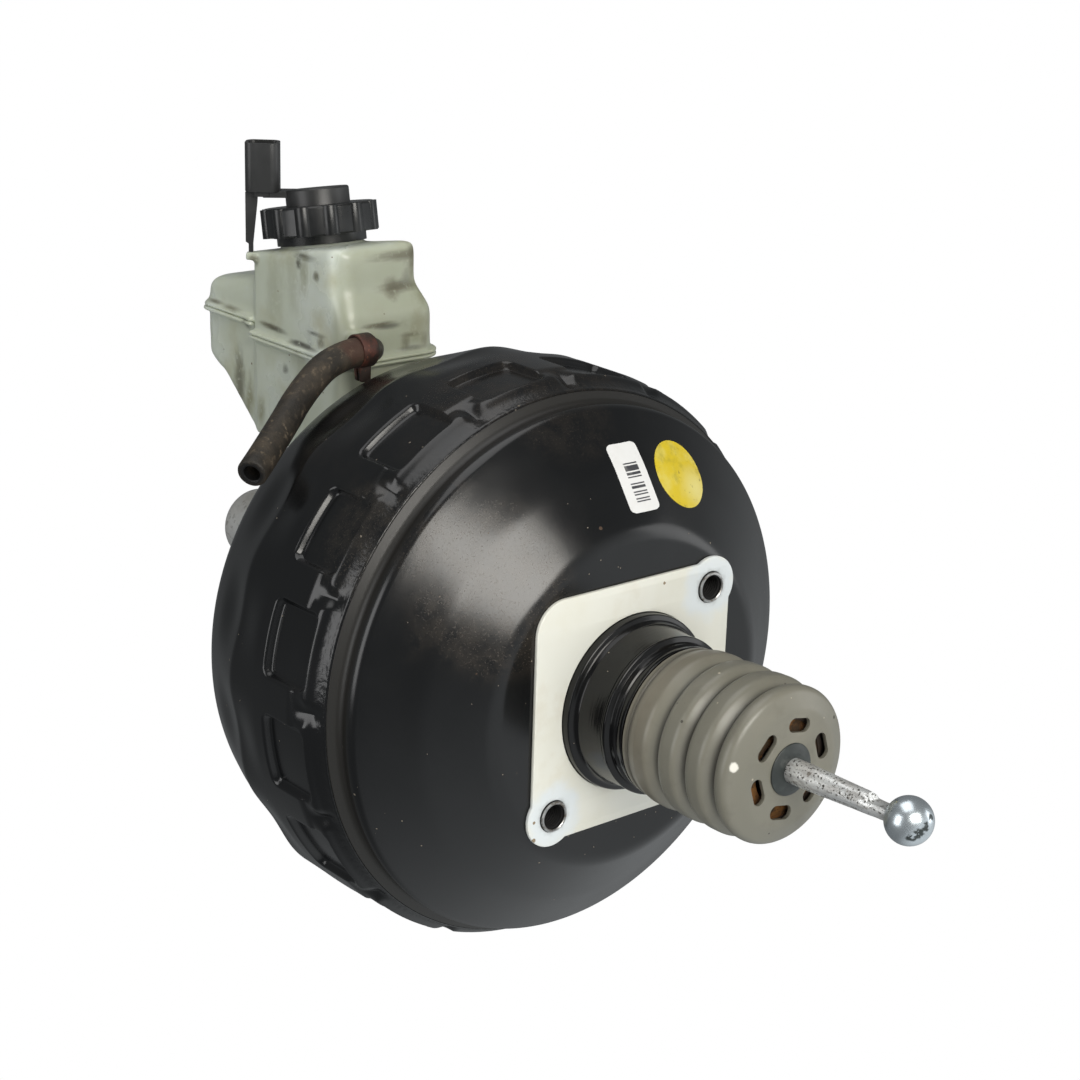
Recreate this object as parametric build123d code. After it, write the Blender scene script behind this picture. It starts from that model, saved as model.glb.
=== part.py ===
from build123d import *
import math
import os

# Vacuum brake booster with its tandem master cylinder, fluid reservoir and clutch feed hose.
# All sizes are millimetres. The origin is the centre of the bulkhead mounting face, on the booster axis.
# -Y points to the brake pedal, +Y to the master cylinder, +Z up to the reservoir cap, +X to the right
# as seen from the pedal.

# General clearances
run_fit = 0.06          # radial running fit of a sliding part in its bore
seat_gap = 0.3          # room beside a soft or loosely seated part
part_gap = 0.1          # room between neighbouring parts that don't slide

# Casing shells
sheet = 1.6             # pressed steel of both shells
gasket_thick = 2.0
band_radius = 133.2     # largest radius of the casing
rim_radius = band_radius - 7.9  # outside of the rear shell's rim, inside the skirt
ridge_radius = rim_radius - 3.5  # shoulder of the rear dome
dome_mid_radius = ridge_radius - 22.3
dome_mid_y = 19.5
seat_radius = dome_mid_radius - 24.5  # flat seat around the mounting gasket
ridge_y = 38.5
valley_y = 45.0
rim_start_y = 49.5
rim_end_y = 58.0
skirt_edge_y = 50.5     # cut edge of the front shell's skirt
band_start_y = 68.0
band_end_y = 112.0
taper_radius = band_radius - 15.2
taper_end_y = 148.0
shoulder_radius = band_radius - 33.2
face_y = 172.0          # front face, where the master cylinder seats
face_flat_radius = 52.0
spigot_hole_radius = 19.6

# Pockets pressed into the skirt
pocket_count = 16
pocket_phase = 144.0    # angle of one pocket's middle, from +X towards +Z
pocket_angle = 14.6     # degrees
pocket_y0 = 60.5
pocket_y1 = 87.5
pocket_depth = 3.4
pocket_rim_angle = 19.0
pocket_rim_y = 56.5     # rear end of the raised rim
pocket_rim_drop = 1.3   # rim height below the band

# Neck of the rear shell, its sleeve and the guide seal
tube_radius = 24.5      # valve body's sliding tube
neck_radius = tube_radius + 7.0
neck_end_y = -25.0
sleeve_flange_radius = neck_radius + 9.3
sleeve_flange_thick = 4.2
sleeve_radius = neck_radius + 4.8
sleeve_step_y = -20.0
sleeve_ring_radius = neck_radius + 1.7
nose_radius = neck_radius - 0.9
nose_start_y = -30.2
nose_end_y = -38.0
nose_wall = 2.0

# Bulkhead gasket and its two bolt sockets
gasket_half = 54.8
gasket_corner = 15.0
ear_radius = 15.0
hole_offset = 43.2      # each socket is this far right and up, or left and down
socket_radius = 8.3
socket_bore = 5.2
socket_lead_in = 6.3
socket_proud = 1.2
socket_depth = 12.0
socket_flange_radius = 9.0
socket_flange_thick = 2.6

# Power piston
tube_end_y = -90.0
tube_bore = tube_radius - 3.0
plunger_bore = 8.0
valve_seat_y = -5.0
poppet_radius = tube_bore - 3.6
plate_y = 16.0          # rear face of the diaphragm plate's hub
plate_thick = 1.5
plate_radius = ridge_radius - 13.8
plate_flat_radius = plate_radius - 38.0
plate_edge_y = 45.6
hub_radius = tube_radius + 11.5
hub_thick = 5.5
boss_radius = 20.0
boss_end_y = 50.0
disc_bore = 13.5
disc_y = 36.2
disc_thick = 5.6
diaphragm_thick = 2.0
bead_height = 4.8
bead_radius = rim_radius + 0.2
bead_inner = rim_radius - 3.8
spring_radius = boss_radius + 6.6  # coil radius of the large return spring

# Push rods and the valve between them
rod_pivot_y = -12.0
rod_lean = 1.5          # degrees, the free rod leans up in its boot
rod_radius = 4.7
rod_neck_radius = 2.9
rod_socket_ball = 4.6
ball_radius = 9.8       # ball that the pedal's clip takes
ball_y = -158.5
taper_y = -128.0
neck_y = -143.0
rod_collar_radius = 8.0
rod_collar_y = -52.0
plunger_radius = 7.94
plunger_head = 9.2
socket_wall_radius = 7.9
valve_travel = 1.5
output_rod_radius = 5.0
output_rod_end_y = 170.0
tip_radius = 4.0

# Rubber dust boot
boot_wall = 1.8
boot_end_y = -95.0
boot_shear = 0.035      # the boot follows the leaning rod, rise per millimetre of length
boot_crest = neck_radius + 2.7
boot_valley = neck_radius - 1.7
vent_count = 6
vent_circle = 18.6
vent_phase = 18.0       # degrees
vent_length = 9.0
vent_width = 5.2
bush_radius = 9.8
filter_thick = 9.0
filter_bore = 14.0      # clears the bush at both ends of the rod's tilt

# Master cylinder
flange_thick = 12.0
flange_ear_x = 38.0
flange_ear_radius = 11.5
flange_hub_radius = 27.0
cylinder_radius = 19.3
cylinder_end_y = 306.0
cylinder_bore = 11.1    # 22.2 mm tandem bore
bore_end_y = 292.0
spigot_radius = 19.3
spigot_end_y = 150.0
stud_radius = 4.0
stud_end_y = 200.0
port_ys = (204.0, 246.0)
port_boss_radius = 14.5
port_boss_top = 33.0
port_bore = 11.5
outlet_ys = (216.0, 262.0)
outlet_radius = 9.0
outlet_bore = 4.4
outlet_reach = 30.0
outlet_depth = 14.0

# Reservoir
tank_left = -28.0
tank_right = 26.0
tank_rear_y = 178.0
tank_front_y = 256.0
upper_right = 21.5      # right wall above the shelf
upper_rear_y = 183.5    # rear wall above the shelf
shelf_low_z = 136.0
shelf_high_z = 148.0
nose_left = -26.5       # lower chamber at the front
nose_right = 19.0
nose_front_y = 302.0
tank_wall = 2.0
seam_z = 114.5
nose_seam_z = 120.5
seam_reach = 3.2
seam_thick = 2.2
tank_tilt = 10.5        # degrees, the top and the filler neck lean forward
tank_top_z = 155.5      # top face at the front wall
nose_top_z = 143.5      # top of the lower chamber at the front wall of the main one
tank_bottom_z = 62.0
front_corner = 3.0
rear_corner = 8.0
nose_corner = 6.0
port_neck_radius = 8.6
port_neck_end_z = 22.0

# Filler neck, cap and level sensor, heights along the leaning neck
cap_x = -2.6
cap_y = 232.6
neck_outer = 19.6
neck_bore = 16.5
neck_height = 14.0
cap_radius = 28.6
cap_lobes = 12
cap_lobe_radius = 4.2
cap_bottom = 5.5
cap_top = 19.6
cap_skirt_radius = 21.6
cap_skirt_bottom = 1.2
cap_roof = 2.6
insert_radius = 15.4
insert_top = 27.6
sensor_tube_radius = 6.5
sensor_tube_end = -84.0
float_radius = 13.0
float_height = 14.0
plug_x = -24.5
plug_y = 251.0
plug_width = 16.4       # along the arm
plug_depth = 13.0
plug_rise = 3.0         # underside of the connector above the arm's underside
plug_heading = 140.0    # degrees, from the cap to the blade
plug_top_z = 208.8
arm_width = 9.0
arm_z = 182.6
arm_thick = 3.0
blade_foot_z = 155.6
blade_reach = 8.4

# Clutch feed hose, cut short
hose_radius = 6.5
hose_bore = 3.8
spigot_y = 166.0
spigot_z = 124.5
spigot_x = -12.0
hose_start_x = -19.0
hose_route = [
    (hose_start_x, spigot_y, spigot_z),
    (-41.0, spigot_y, spigot_z),
    (-66.0, 156.0, 114.0),
    (-88.0, 143.0, 101.0),
    (-111.0, 127.0, 92.5),
]

# Vacuum check valve on the front face
valve_x = 58.0
valve_z = 46.0
valve_radius = 9.0
nipple_radius = 5.0
nipple_bore = 3.2
nipple_end_x = 92.0
nipple_length = 14.0     # the hose pushes on as far as the elbow's thicker wall


def turned(points, radii=None):
    """Ring or disc about the booster axis from (radius, y) points, each corner with its own round."""
    rounds = [0.0] * len(points)
    for index, value in (radii or {}).items():
        rounds[index] = value
    outline = FilletPolyline(*points, radius=rounds, close=True)
    return revolve(make_face(outline), Axis.Y)


def turned_up(points, x, y, radii=None):
    """Ring or disc about a vertical axis at (x, y) from (radius, z) points."""
    rounds = [0.0] * len(points)
    for index, value in (radii or {}).items():
        rounds[index] = value
    outline = FilletPolyline(*points, radius=rounds, close=True)
    body = revolve(make_face(Plane.XZ * outline), Axis.Z)
    return Pos(x, y, 0) * body


def tube(r_out, r_in, y0, y1, x=0.0, z=0.0):
    """Tube along Y between two depths."""
    low, high = min(y0, y1), max(y0, y1)
    return Pos(x, 0, z) * turned([(r_in, low), (r_out, low), (r_out, high), (r_in, high)])


def rod_y(radius, y0, y1, x=0.0, z=0.0):
    """Round bar along Y between two depths."""
    low, high = min(y0, y1), max(y0, y1)
    return Pos(x, (low + high) / 2, z) * Rot(90, 0, 0) * Cylinder(radius, high - low)


def rod_z(radius, z0, z1, x=0.0, y=0.0):
    """Upright round bar between two heights."""
    return Pos(x, y, (z0 + z1) / 2) * Cylinder(radius, z1 - z0)


def rod_x(radius, x0, x1, y=0.0, z=0.0):
    """Round bar along X between two places."""
    return Pos((x0 + x1) / 2, y, z) * Rot(0, 90, 0) * Cylinder(radius, x1 - x0)


def sheet_path(path, rounds, thick):
    """Closed outline of a pressed sheet: the outer path and the same path set in by the thickness."""
    inner = []
    inner_rounds = []
    count = len(path)
    for i in range(count):
        a = path[max(i - 1, 0)]
        b = path[i]
        c = path[min(i + 1, count - 1)]
        d1 = (b[0] - a[0], b[1] - a[1]) if i > 0 else (c[0] - b[0], c[1] - b[1])
        d2 = (c[0] - b[0], c[1] - b[1]) if i < count - 1 else d1
        l1 = math.hypot(*d1)
        l2 = math.hypot(*d2)
        n1 = (-d1[1] / l1, d1[0] / l1)
        n2 = (-d2[1] / l2, d2[0] / l2)
        share = 1 + n1[0] * n2[0] + n1[1] * n2[1]
        offset = ((n1[0] + n2[0]) / share, (n1[1] + n2[1]) / share)
        inner.append((b[0] + thick * offset[0], b[1] + thick * offset[1]))
        turn = d1[0] * d2[1] - d1[1] * d2[0]
        outer_round = rounds[i]
        inner_rounds.append(0.0 if outer_round == 0 else
                            max(outer_round - thick if turn > 0 else outer_round + thick, 0.2))
    return path + inner[::-1], rounds + inner_rounds[::-1]


def shell_of(path, rounds, thick):
    """Pressed shell about the booster axis."""
    points, radii = sheet_path(path, rounds, thick)
    return revolve(make_face(FilletPolyline(*points, radius=radii, close=True)), Axis.Y)


def ring_sector(r_in, r_out, y0, y1, middle, angle, corner=0.0):
    """Curved block around the booster axis, centred on an angle from +X towards +Z."""
    rounds = [corner] * 4
    outline = FilletPolyline((r_in, y0), (r_out, y0), (r_out, y1), (r_in, y1), radius=rounds, close=True)
    block = revolve(make_face(outline), Axis.Y, revolution_arc=angle)
    return Rot(0, -middle - angle / 2, 0) * block


def coil(radius, wire, y0, y1, turns):
    """Round-wire spring about the booster axis."""
    pitch = (y1 - y0 - 2 * wire) / turns
    path = Helix(pitch=pitch, height=pitch * turns, radius=radius)
    section = Plane(path @ 0, z_dir=path % 0) * Circle(wire)
    spring = sweep(section, path=path)
    return Pos(0, y1 - wire, 0) * Rot(90, 0, 0) * spring


def pocket_middles():
    return [pocket_phase + i * 360.0 / pocket_count for i in range(pocket_count)]


def make_rear_shell():
    path = [
        (neck_radius, neck_end_y),
        (neck_radius, gasket_thick),
        (seat_radius, gasket_thick),
        (dome_mid_radius, dome_mid_y),
        (ridge_radius, ridge_y),
        (ridge_radius - 0.8, valley_y),
        (rim_radius, rim_start_y),
        (rim_radius, rim_end_y),
    ]
    shell = shell_of(path, [0, 3.0, 14.0, 60.0, 9.0, 3.0, 2.2, 0], sheet)
    for sign in (1, -1):
        shell -= rod_y(socket_radius, -socket_depth, socket_depth, sign * hole_offset, sign * hole_offset)
    return shell


def make_front_shell():
    path = [
        (rim_radius + part_gap + sheet, skirt_edge_y),
        (rim_radius + part_gap + sheet + 0.4, pocket_rim_y + 1.0),
        (band_radius - 0.4, band_start_y),
        (band_radius, band_end_y),
        (taper_radius, taper_end_y),
        (shoulder_radius, face_y - 4.0),
        (face_flat_radius, face_y),
        (spigot_hole_radius, face_y),
    ]
    shell = shell_of(path, [0, 3.0, 4.0, 8.0, 16.0, 12.0, 10.0, 0], sheet)
    floor = band_radius - pocket_depth
    for middle in pocket_middles():
        rim = ring_sector(floor - sheet, band_radius - pocket_rim_drop, pocket_rim_y, pocket_y1 + sheet,
                          middle, pocket_rim_angle, 1.2)
        bead_room = tube(floor - sheet + 3.0, floor - sheet - 3.0, pocket_rim_y - 2.0, rim_end_y + bead_height)
        shell += rim - bead_room
        shell -= ring_sector(floor, band_radius + 4.0, pocket_y0, pocket_y1, middle, pocket_angle)
    for sign in (1, -1):
        shell -= rod_y(stud_radius + part_gap, face_y - 10.0, face_y + 5.0, sign * flange_ear_x)
    shell -= rod_y(valve_radius + 2.0, face_y - 20.0, face_y + 5.0, valve_x, valve_z)
    return shell


def make_gasket():
    square = RectangleRounded(2 * gasket_half, 2 * gasket_half, gasket_corner)
    for sign in (1, -1):
        square += Pos(sign * (hole_offset + 1.0), sign * (hole_offset + 1.0)) * Circle(ear_radius)
    square -= Circle(sleeve_flange_radius + 2 * part_gap)
    for sign in (1, -1):
        square -= Pos(sign * hole_offset, sign * hole_offset) * Circle(socket_radius + part_gap)
    plate = extrude(square, gasket_thick)
    return Pos(0, gasket_thick, 0) * Rot(90, 0, 0) * plate


def make_sockets():
    sockets = []
    inside = gasket_thick + sheet
    for sign in (1, -1):
        x = sign * hole_offset
        body = turned([
            (socket_bore, -socket_proud + 1.1),
            (socket_lead_in, -socket_proud),
            (socket_radius - part_gap, -socket_proud),
            (socket_radius - part_gap, inside),
            (socket_flange_radius, inside),
            (socket_flange_radius, inside + socket_flange_thick),
            (socket_radius - part_gap, inside + socket_flange_thick),
            (socket_radius - part_gap, socket_depth),
            (0, socket_depth),
            (0, socket_depth - 1.5),
            (socket_bore, socket_depth - 1.5),
        ])
        sockets.append(Pos(x, 0, x) * body)
    return Compound(sockets)


def make_neck_sleeve():
    inner = neck_radius + part_gap
    lip = nose_radius - nose_wall
    return turned([
        (inner, -1.8), (inner + 3.8, gasket_thick), (sleeve_flange_radius, gasket_thick),
        (sleeve_flange_radius, -sleeve_flange_thick + 0.6),
        (sleeve_radius + 1.0, -sleeve_flange_thick),
        (sleeve_radius, -sleeve_flange_thick - 2.0),
        (sleeve_radius - 1.3, sleeve_step_y + 1.2),
        (sleeve_radius - 0.8, sleeve_step_y),
        (sleeve_radius - 0.8, sleeve_step_y - 1.6),
        (sleeve_ring_radius, sleeve_step_y - 2.4),
        (sleeve_ring_radius, -25.0), (sleeve_ring_radius - 0.8, -25.6),
        (sleeve_ring_radius - 0.8, -27.2), (sleeve_ring_radius, -27.8),
        (sleeve_ring_radius, nose_start_y + 0.4),
        (nose_radius, nose_start_y), (nose_radius, nose_end_y + 2.6),
        (nose_radius + 0.7, nose_end_y + 1.8), (nose_radius, nose_end_y),
        (lip, nose_end_y), (lip, neck_end_y - part_gap), (inner, neck_end_y - part_gap),
    ], {3: 0.5, 4: 1.2})


def make_guide_seal():
    """Rubber seal in the neck that the power piston's tube slides through."""
    outer = neck_radius - sheet
    return turned([
        (tube_radius + run_fit, -10.0), (outer, -10.0), (outer, neck_end_y + 4.0),
        (outer - 2.0, neck_end_y + 4.0), (tube_radius + 2.2, -14.0),
        (tube_radius + 1.6, neck_end_y + 6.0), (tube_radius + run_fit, neck_end_y + 6.0),
    ])


def make_guide_ring():
    """Hard plastic bearing ring beside the seal."""
    outer = neck_radius - sheet
    return tube(outer, tube_radius + run_fit, neck_end_y, neck_end_y + 4.0)


def make_diaphragm():
    bead_y = rim_end_y
    back = plate_y - part_gap
    return turned([
        (tube_radius + 0.05, back), (tube_radius + 0.05, back - 5.0), (tube_radius + 3.5, back - 5.0),
        (tube_radius + 3.5, back - diaphragm_thick),
        (plate_flat_radius, back - diaphragm_thick),
        (plate_radius + 1.5, plate_edge_y - 2.4),
        (bead_inner, bead_y - 6.0),
        (bead_inner + 1.6, bead_y), (bead_radius, bead_y), (bead_radius + 2.3, bead_y + bead_height),
        (bead_inner, bead_y + bead_height), (bead_inner - 0.6, bead_y - 4.0),
        (plate_radius + 3.6, plate_edge_y + 2.6),
        (plate_radius + 1.3, plate_edge_y + 0.4),
        (plate_flat_radius + 0.4, back),
    ])


def make_diaphragm_plate():
    path = [
        (tube_radius + run_fit, plate_y),
        (plate_flat_radius, plate_y),
        (plate_radius, plate_edge_y),
    ]
    plate = shell_of(path, [0, 8.0, 0], plate_thick)
    return plate


def make_valve_body():
    """Moulded body of the power piston: sliding tube, hub, and the front boss."""
    hub_y = plate_y + plate_thick
    return turned([
        (tube_bore, tube_end_y), (tube_radius, tube_end_y),
        (tube_radius, hub_y), (hub_radius, hub_y), (hub_radius, hub_y + hub_thick),
        (boss_radius + 1.0, hub_y + hub_thick), (boss_radius, boss_end_y), (disc_bore, boss_end_y),
        (disc_bore, disc_y), (plunger_bore, disc_y), (plunger_bore, valve_seat_y + 1.5),
        (plunger_bore + 3.6, valve_seat_y + 1.5),
        (plunger_bore + 4.6, valve_seat_y), (plunger_bore + 6.2, valve_seat_y),
        (plunger_bore + 7.2, valve_seat_y + 1.5), (poppet_radius + 0.6, valve_seat_y + 1.5),
        (poppet_radius + 0.6, -30.0), (tube_bore, -31.0),
    ], {1: 0.8, 4: 1.0})


def make_reaction_disc():
    return rod_y(disc_bore - part_gap, disc_y, disc_y + disc_thick)


def make_output_rod():
    head_y = disc_y + disc_thick
    return turned([
        (0, head_y), (disc_bore - part_gap, head_y), (disc_bore - part_gap, head_y + 5.0),
        (output_rod_radius + 2.0, head_y + 7.0), (output_rod_radius, head_y + 12.0),
        (output_rod_radius, output_rod_end_y - 14.0), (0, output_rod_end_y - 14.0),
    ])


def make_rod_tip():
    """Adjusting tip on the end of the output push rod."""
    y0 = output_rod_end_y - 14.0
    return turned([
        (0, y0), (output_rod_radius + 1.4, y0), (output_rod_radius + 1.4, y0 + 4.0), (tip_radius, y0 + 5.0),
        (tip_radius, output_rod_end_y - 1.6), (tip_radius - 1.6, output_rod_end_y), (0, output_rod_end_y),
    ])


def make_plunger():
    """Sliding valve plunger with the socket that holds the input rod's ball."""
    front = disc_y - valve_travel - 0.3
    socket = turned([
        (0, front), (plunger_radius, front), (plunger_radius, valve_seat_y - seat_gap),
        (plunger_head, valve_seat_y - seat_gap), (plunger_head, valve_seat_y - 1.2), (socket_wall_radius, valve_seat_y - 2.2),
        (socket_wall_radius, rod_pivot_y - 3.0), (rod_socket_ball - 0.1, rod_pivot_y - 3.0),
        (rod_socket_ball + run_fit, rod_pivot_y - 1.0),
        (rod_socket_ball + run_fit, rod_pivot_y), (0, rod_pivot_y),
    ])
    socket -= Pos(0, rod_pivot_y, 0) * Sphere(rod_socket_ball + run_fit)
    mouth = turned([
        (0, rod_pivot_y - 1.5), (rod_socket_ball - 0.3, rod_pivot_y - 1.5),
        (rod_socket_ball + 0.6, rod_pivot_y - 3.2), (0, rod_pivot_y - 3.2),
    ])
    return socket - mouth


def make_poppet():
    """Rubber poppet that closes on the plunger and on the valve body's seat."""
    face = valve_seat_y - 1.2 - seat_gap
    return turned([
        (9.9, face), (poppet_radius - 0.7, face), (poppet_radius - 0.7, face - 2.0),
        (12.2, face - 2.8), (12.2, face - 8.0), (poppet_radius, face - 12.5),
        (poppet_radius, face - 15.5), (poppet_radius - 2.5, face - 15.5), (10.6, face - 9.0), (10.6, face - 3.0),
        (9.9, face - 2.4),
    ])


def make_poppet_retainer():
    face = valve_seat_y - 1.2 - seat_gap - 15.5
    return turned([
        (10.8, face), (poppet_radius + 0.3, face), (poppet_radius + 0.3, face - 1.2), (12.0, face - 1.2), (12.0, face - 9.0), (10.8, face - 9.0),
    ])


def make_poppet_spring():
    face = valve_seat_y - 1.2 - seat_gap
    return coil(poppet_radius - 3.0, 0.5, face - 9.2, face - 2.8, 2.5)


def make_rod_spring():
    top = valve_seat_y - 1.2 - seat_gap - 15.5 - 9.0
    return coil(11.2, 0.7, rod_collar_y + 1.5, top, 4)


def make_input_rod():
    """Forged input rod with its inner ball, spring collar, tapered neck and pedal ball."""
    shaft = turned([
        (0, rod_pivot_y), (3.3, rod_pivot_y), (3.3, rod_pivot_y - 6.0), (rod_radius, rod_pivot_y - 8.0),
        (rod_radius, rod_collar_y + 1.0), (rod_collar_radius + 4.0, rod_collar_y + 1.0),
        (rod_collar_radius + 4.0, rod_collar_y), (rod_radius, rod_collar_y),
        (rod_radius, taper_y), (rod_radius - 0.6, neck_y + 4.0), (rod_neck_radius, neck_y),
        (rod_neck_radius, ball_y + 4.0), (0, ball_y + 4.0),
    ])
    shaft += Pos(0, rod_pivot_y, 0) * Sphere(rod_socket_ball)
    shaft += Pos(0, ball_y, 0) * Sphere(ball_radius)
    return lean(shaft)


def lean(shape):
    """Turn a piece on the input rod about the rod's inner ball, so that its outer end lies higher."""
    return Pos(0, rod_pivot_y, 0) * Rot(-rod_lean, 0, 0) * Pos(0, -rod_pivot_y, 0) * shape


def make_rod_bush():
    bush = turned([
        (rod_radius + run_fit, boot_end_y + 6.5), (bush_radius - 1.6, boot_end_y + 6.5),
        (bush_radius - 1.6, boot_end_y + 3.0), (bush_radius, boot_end_y + 2.2),
        (bush_radius, boot_end_y - 0.6), (rod_radius + 2.2, boot_end_y - 1.6),
        (rod_radius + run_fit, boot_end_y - 1.6),
    ])
    return lean(bush)


def make_air_filter():
    return tube(tube_bore - part_gap, filter_bore, tube_end_y + 0.5, tube_end_y + 0.5 + filter_thick)


def make_filter_ring():
    """Plastic ring that backs the felt filter inside the tube."""
    y0 = tube_end_y + 0.5 + filter_thick
    return tube(tube_bore - run_fit, tube_bore - 4.0, y0, y0 + 2.0)


def boot_slope():
    """The boot's outer end is carried higher by the rod, its cuff stays square on the sleeve."""
    rise = boot_shear * (nose_start_y + nose_end_y) / 2
    return Matrix([[1, 0, 0, 0], [0, 1, 0, 0], [0, -boot_shear, 1, rise]])


def make_dust_boot():
    outer = [
        (sleeve_ring_radius - 1.0, nose_start_y - part_gap),
        (sleeve_ring_radius + 0.4, -31.0), (sleeve_ring_radius + 0.4, -33.0),
        (sleeve_ring_radius - 0.2, -33.6), (boot_crest + 0.2, -36.5), (boot_crest + 0.4, -42.0),
        (boot_valley + 0.9, -48.6), (boot_crest - 0.2, -56.8),
        (boot_valley, -64.6), (boot_crest, -72.4),
        (boot_valley - 1.0, -80.6), (boot_crest + 0.9, -86.6), (boot_crest + 0.2, -93.0),
        (boot_crest - 9.2, boot_end_y), (bush_radius + 0.2, boot_end_y),
    ]
    inner = [
        (bush_radius + 0.2, boot_end_y + boot_wall), (boot_crest - 9.6, boot_end_y + boot_wall),
        (boot_crest - 3.0, -92.0), (boot_crest - 2.0, -87.4), (boot_valley - 2.8, -80.6), (boot_crest - 2.4, -72.4),
        (boot_valley - 1.8, -64.6), (boot_crest - 2.2, -56.8), (boot_valley - 0.8, -48.6),
        (boot_crest - 1.6, -41.4), (boot_crest - 2.0, nose_end_y - 0.4), (nose_radius + seat_gap, nose_end_y - 0.4),
        (nose_radius + seat_gap + 0.8, nose_end_y + 1.8), (nose_radius + seat_gap, nose_end_y + 3.6),
        (nose_radius + seat_gap, nose_start_y - part_gap),
    ]
    rounds = [0, 0.4, 0.4, 0, 1.5, 2.5, 1.6, 2.6, 1.6, 2.6, 1.6, 3.5, 4.5, 4.5, 0,
              0, 3.0, 3.0, 1.6, 1.2, 1.2, 1.2, 1.2, 1.2, 1.2, 0, 0, 0, 0, 0]
    boot = turned(outer + inner, dict(enumerate(rounds)))
    slot = extrude(SlotOverall(vent_length, vent_width), 8.0, both=True)
    for i in range(vent_count):
        angle = math.radians(360.0 / vent_count * i + vent_phase)
        place = Pos(vent_circle * math.cos(angle), boot_end_y, vent_circle * math.sin(angle))
        boot -= place * Rot(0, -math.degrees(angle) - 90.0, 0) * Rot(90, 0, 0) * slot
    return boot.transform_geometry(boot_slope())


def make_master_cylinder():
    seat = face_y
    ears = Pos(-flange_ear_x, 0) * Circle(flange_ear_radius) + Pos(flange_ear_x, 0) * Circle(flange_ear_radius)
    outline = make_hull(ears.edges() + Circle(flange_hub_radius).edges())
    flange = Pos(0, seat + flange_thick, 0) * Rot(90, 0, 0) * extrude(outline, flange_thick)
    body = flange
    body += turned([
        (0, seat), (cylinder_radius + 3.0, seat), (cylinder_radius + 3.0, seat + 18.0),
        (cylinder_radius, seat + 26.0), (cylinder_radius, cylinder_end_y), (0, cylinder_end_y),
    ], {2: 3.0, 4: 11.0})
    body += rod_y(spigot_radius, spigot_end_y, seat)
    for y in port_ys:
        body += rod_z(port_boss_radius, 0, port_boss_top, 0, y)
    for y in outlet_ys:
        body += rod_x(outlet_radius, 0, outlet_reach, y, -3.0)
    lug_y = sum(port_ys) / 2
    for sign in (1, -1):
        body += Pos(sign * 8.2, lug_y, 22.0) * Box(4.0, 12.0, 24.0)
    body -= rod_y(cylinder_bore, spigot_end_y - 1, bore_end_y)
    body -= rod_y(cylinder_bore + 3.0, spigot_end_y - 1, spigot_end_y + 6.0)
    body -= tube(spigot_radius + 1, spigot_radius - 2.4, spigot_end_y + 9.0, spigot_end_y + 12.6)
    for y in port_ys:
        body -= rod_z(port_bore, 20.0, port_boss_top + 1, 0, y)
        body -= rod_z(2.0, 0, 21.0, 0, y + 4.0)
    for y in outlet_ys:
        body -= rod_x(outlet_bore, outlet_reach - outlet_depth, outlet_reach + 1, y, -3.0)
        body -= rod_x(1.5, 0, outlet_reach, y, -3.0)
    for sign in (1, -1):
        body -= rod_y(stud_radius + 0.3, seat - 1, seat + flange_thick + 1, sign * flange_ear_x)
    body -= rod_x(2.5, -20, 20, lug_y, 29.0)
    return body


def make_o_ring():
    y = spigot_end_y + 10.8
    ring = Pos(spigot_radius - 0.75, y) * Circle(1.6)
    return revolve(ring, Axis.Y)


def piston(y0, y1, grooves, nose):
    """Master cylinder piston with grooves for its cups, and a spring nose."""
    radius = cylinder_bore - run_fit
    body = rod_y(radius, y0, y1)
    body += rod_y(nose, y1, y1 + 5.0)
    for y in grooves:
        body -= tube(radius + 1, radius - 3.0, y, y + 4.0)
    return body


primary_y0 = 158.0
primary_y1 = 208.0
secondary_y0 = 232.0
secondary_y1 = 266.0
primary_grooves = (178.0, 201.0)
secondary_grooves = (236.0, 259.0)
spring_nose = 5.0


def make_primary_piston():
    body = piston(primary_y0, primary_y1, primary_grooves, spring_nose)
    body -= rod_y(output_rod_radius + 1.6 + seat_gap, primary_y0 - 1, output_rod_end_y)
    return body


def make_secondary_piston():
    return piston(secondary_y0, secondary_y1, secondary_grooves, spring_nose)


def make_cups(grooves):
    radius = cylinder_bore - run_fit
    return Compound([tube(radius - 0.02, radius - 3.0 + 0.02, y + 0.02, y + 3.98) for y in grooves])


def make_studs():
    studs = []
    for sign in (1, -1):
        x = sign * flange_ear_x
        inside = face_y - sheet
        studs.append(rod_y(stud_radius, inside, stud_end_y, x) + rod_y(stud_radius + 4.0, inside - 3.0, inside, x))
    return Compound(studs)


def make_nuts():
    nuts = []
    y0 = face_y + flange_thick
    for sign in (1, -1):
        collar = extrude(Circle(8.0) - Circle(stud_radius + part_gap), 1.6)
        hexagon = extrude(RegularPolygon(6.5, 6, major_radius=False) - Circle(stud_radius + part_gap), 8.0)
        nut = collar + hexagon
        nuts.append(Pos(sign * flange_ear_x, y0, 0) * Rot(-90, 0, 0) * nut)
    return Compound(nuts)


def plan(x0, x1, y0, y1, front, rear, inset=0.0):
    """Flat outline of a chamber with its own corner rounds at the front and at the rear."""
    left, right = x0 + inset, x1 - inset
    low, high = y0 + inset, y1 - inset
    rounds = [max(rear - inset, 1.0), max(rear - inset, 1.0), max(front - inset, 1.0), max(front - inset, 1.0)]
    corners = [(left, low), (right, low), (right, high), (left, high)]
    return make_face(FilletPolyline(*corners, radius=rounds, close=True))


def slab(face, z0, z1):
    """Upright block over a flat outline."""
    return Pos(0, 0, z0) * extrude(face, z1 - z0)


def side_prism(points, rounds):
    """Bar along X with an outline of (y, z) points."""
    return extrude(Plane.YZ * make_face(FilletPolyline(*points, radius=rounds, close=True)), 60.0, both=True)


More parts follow.
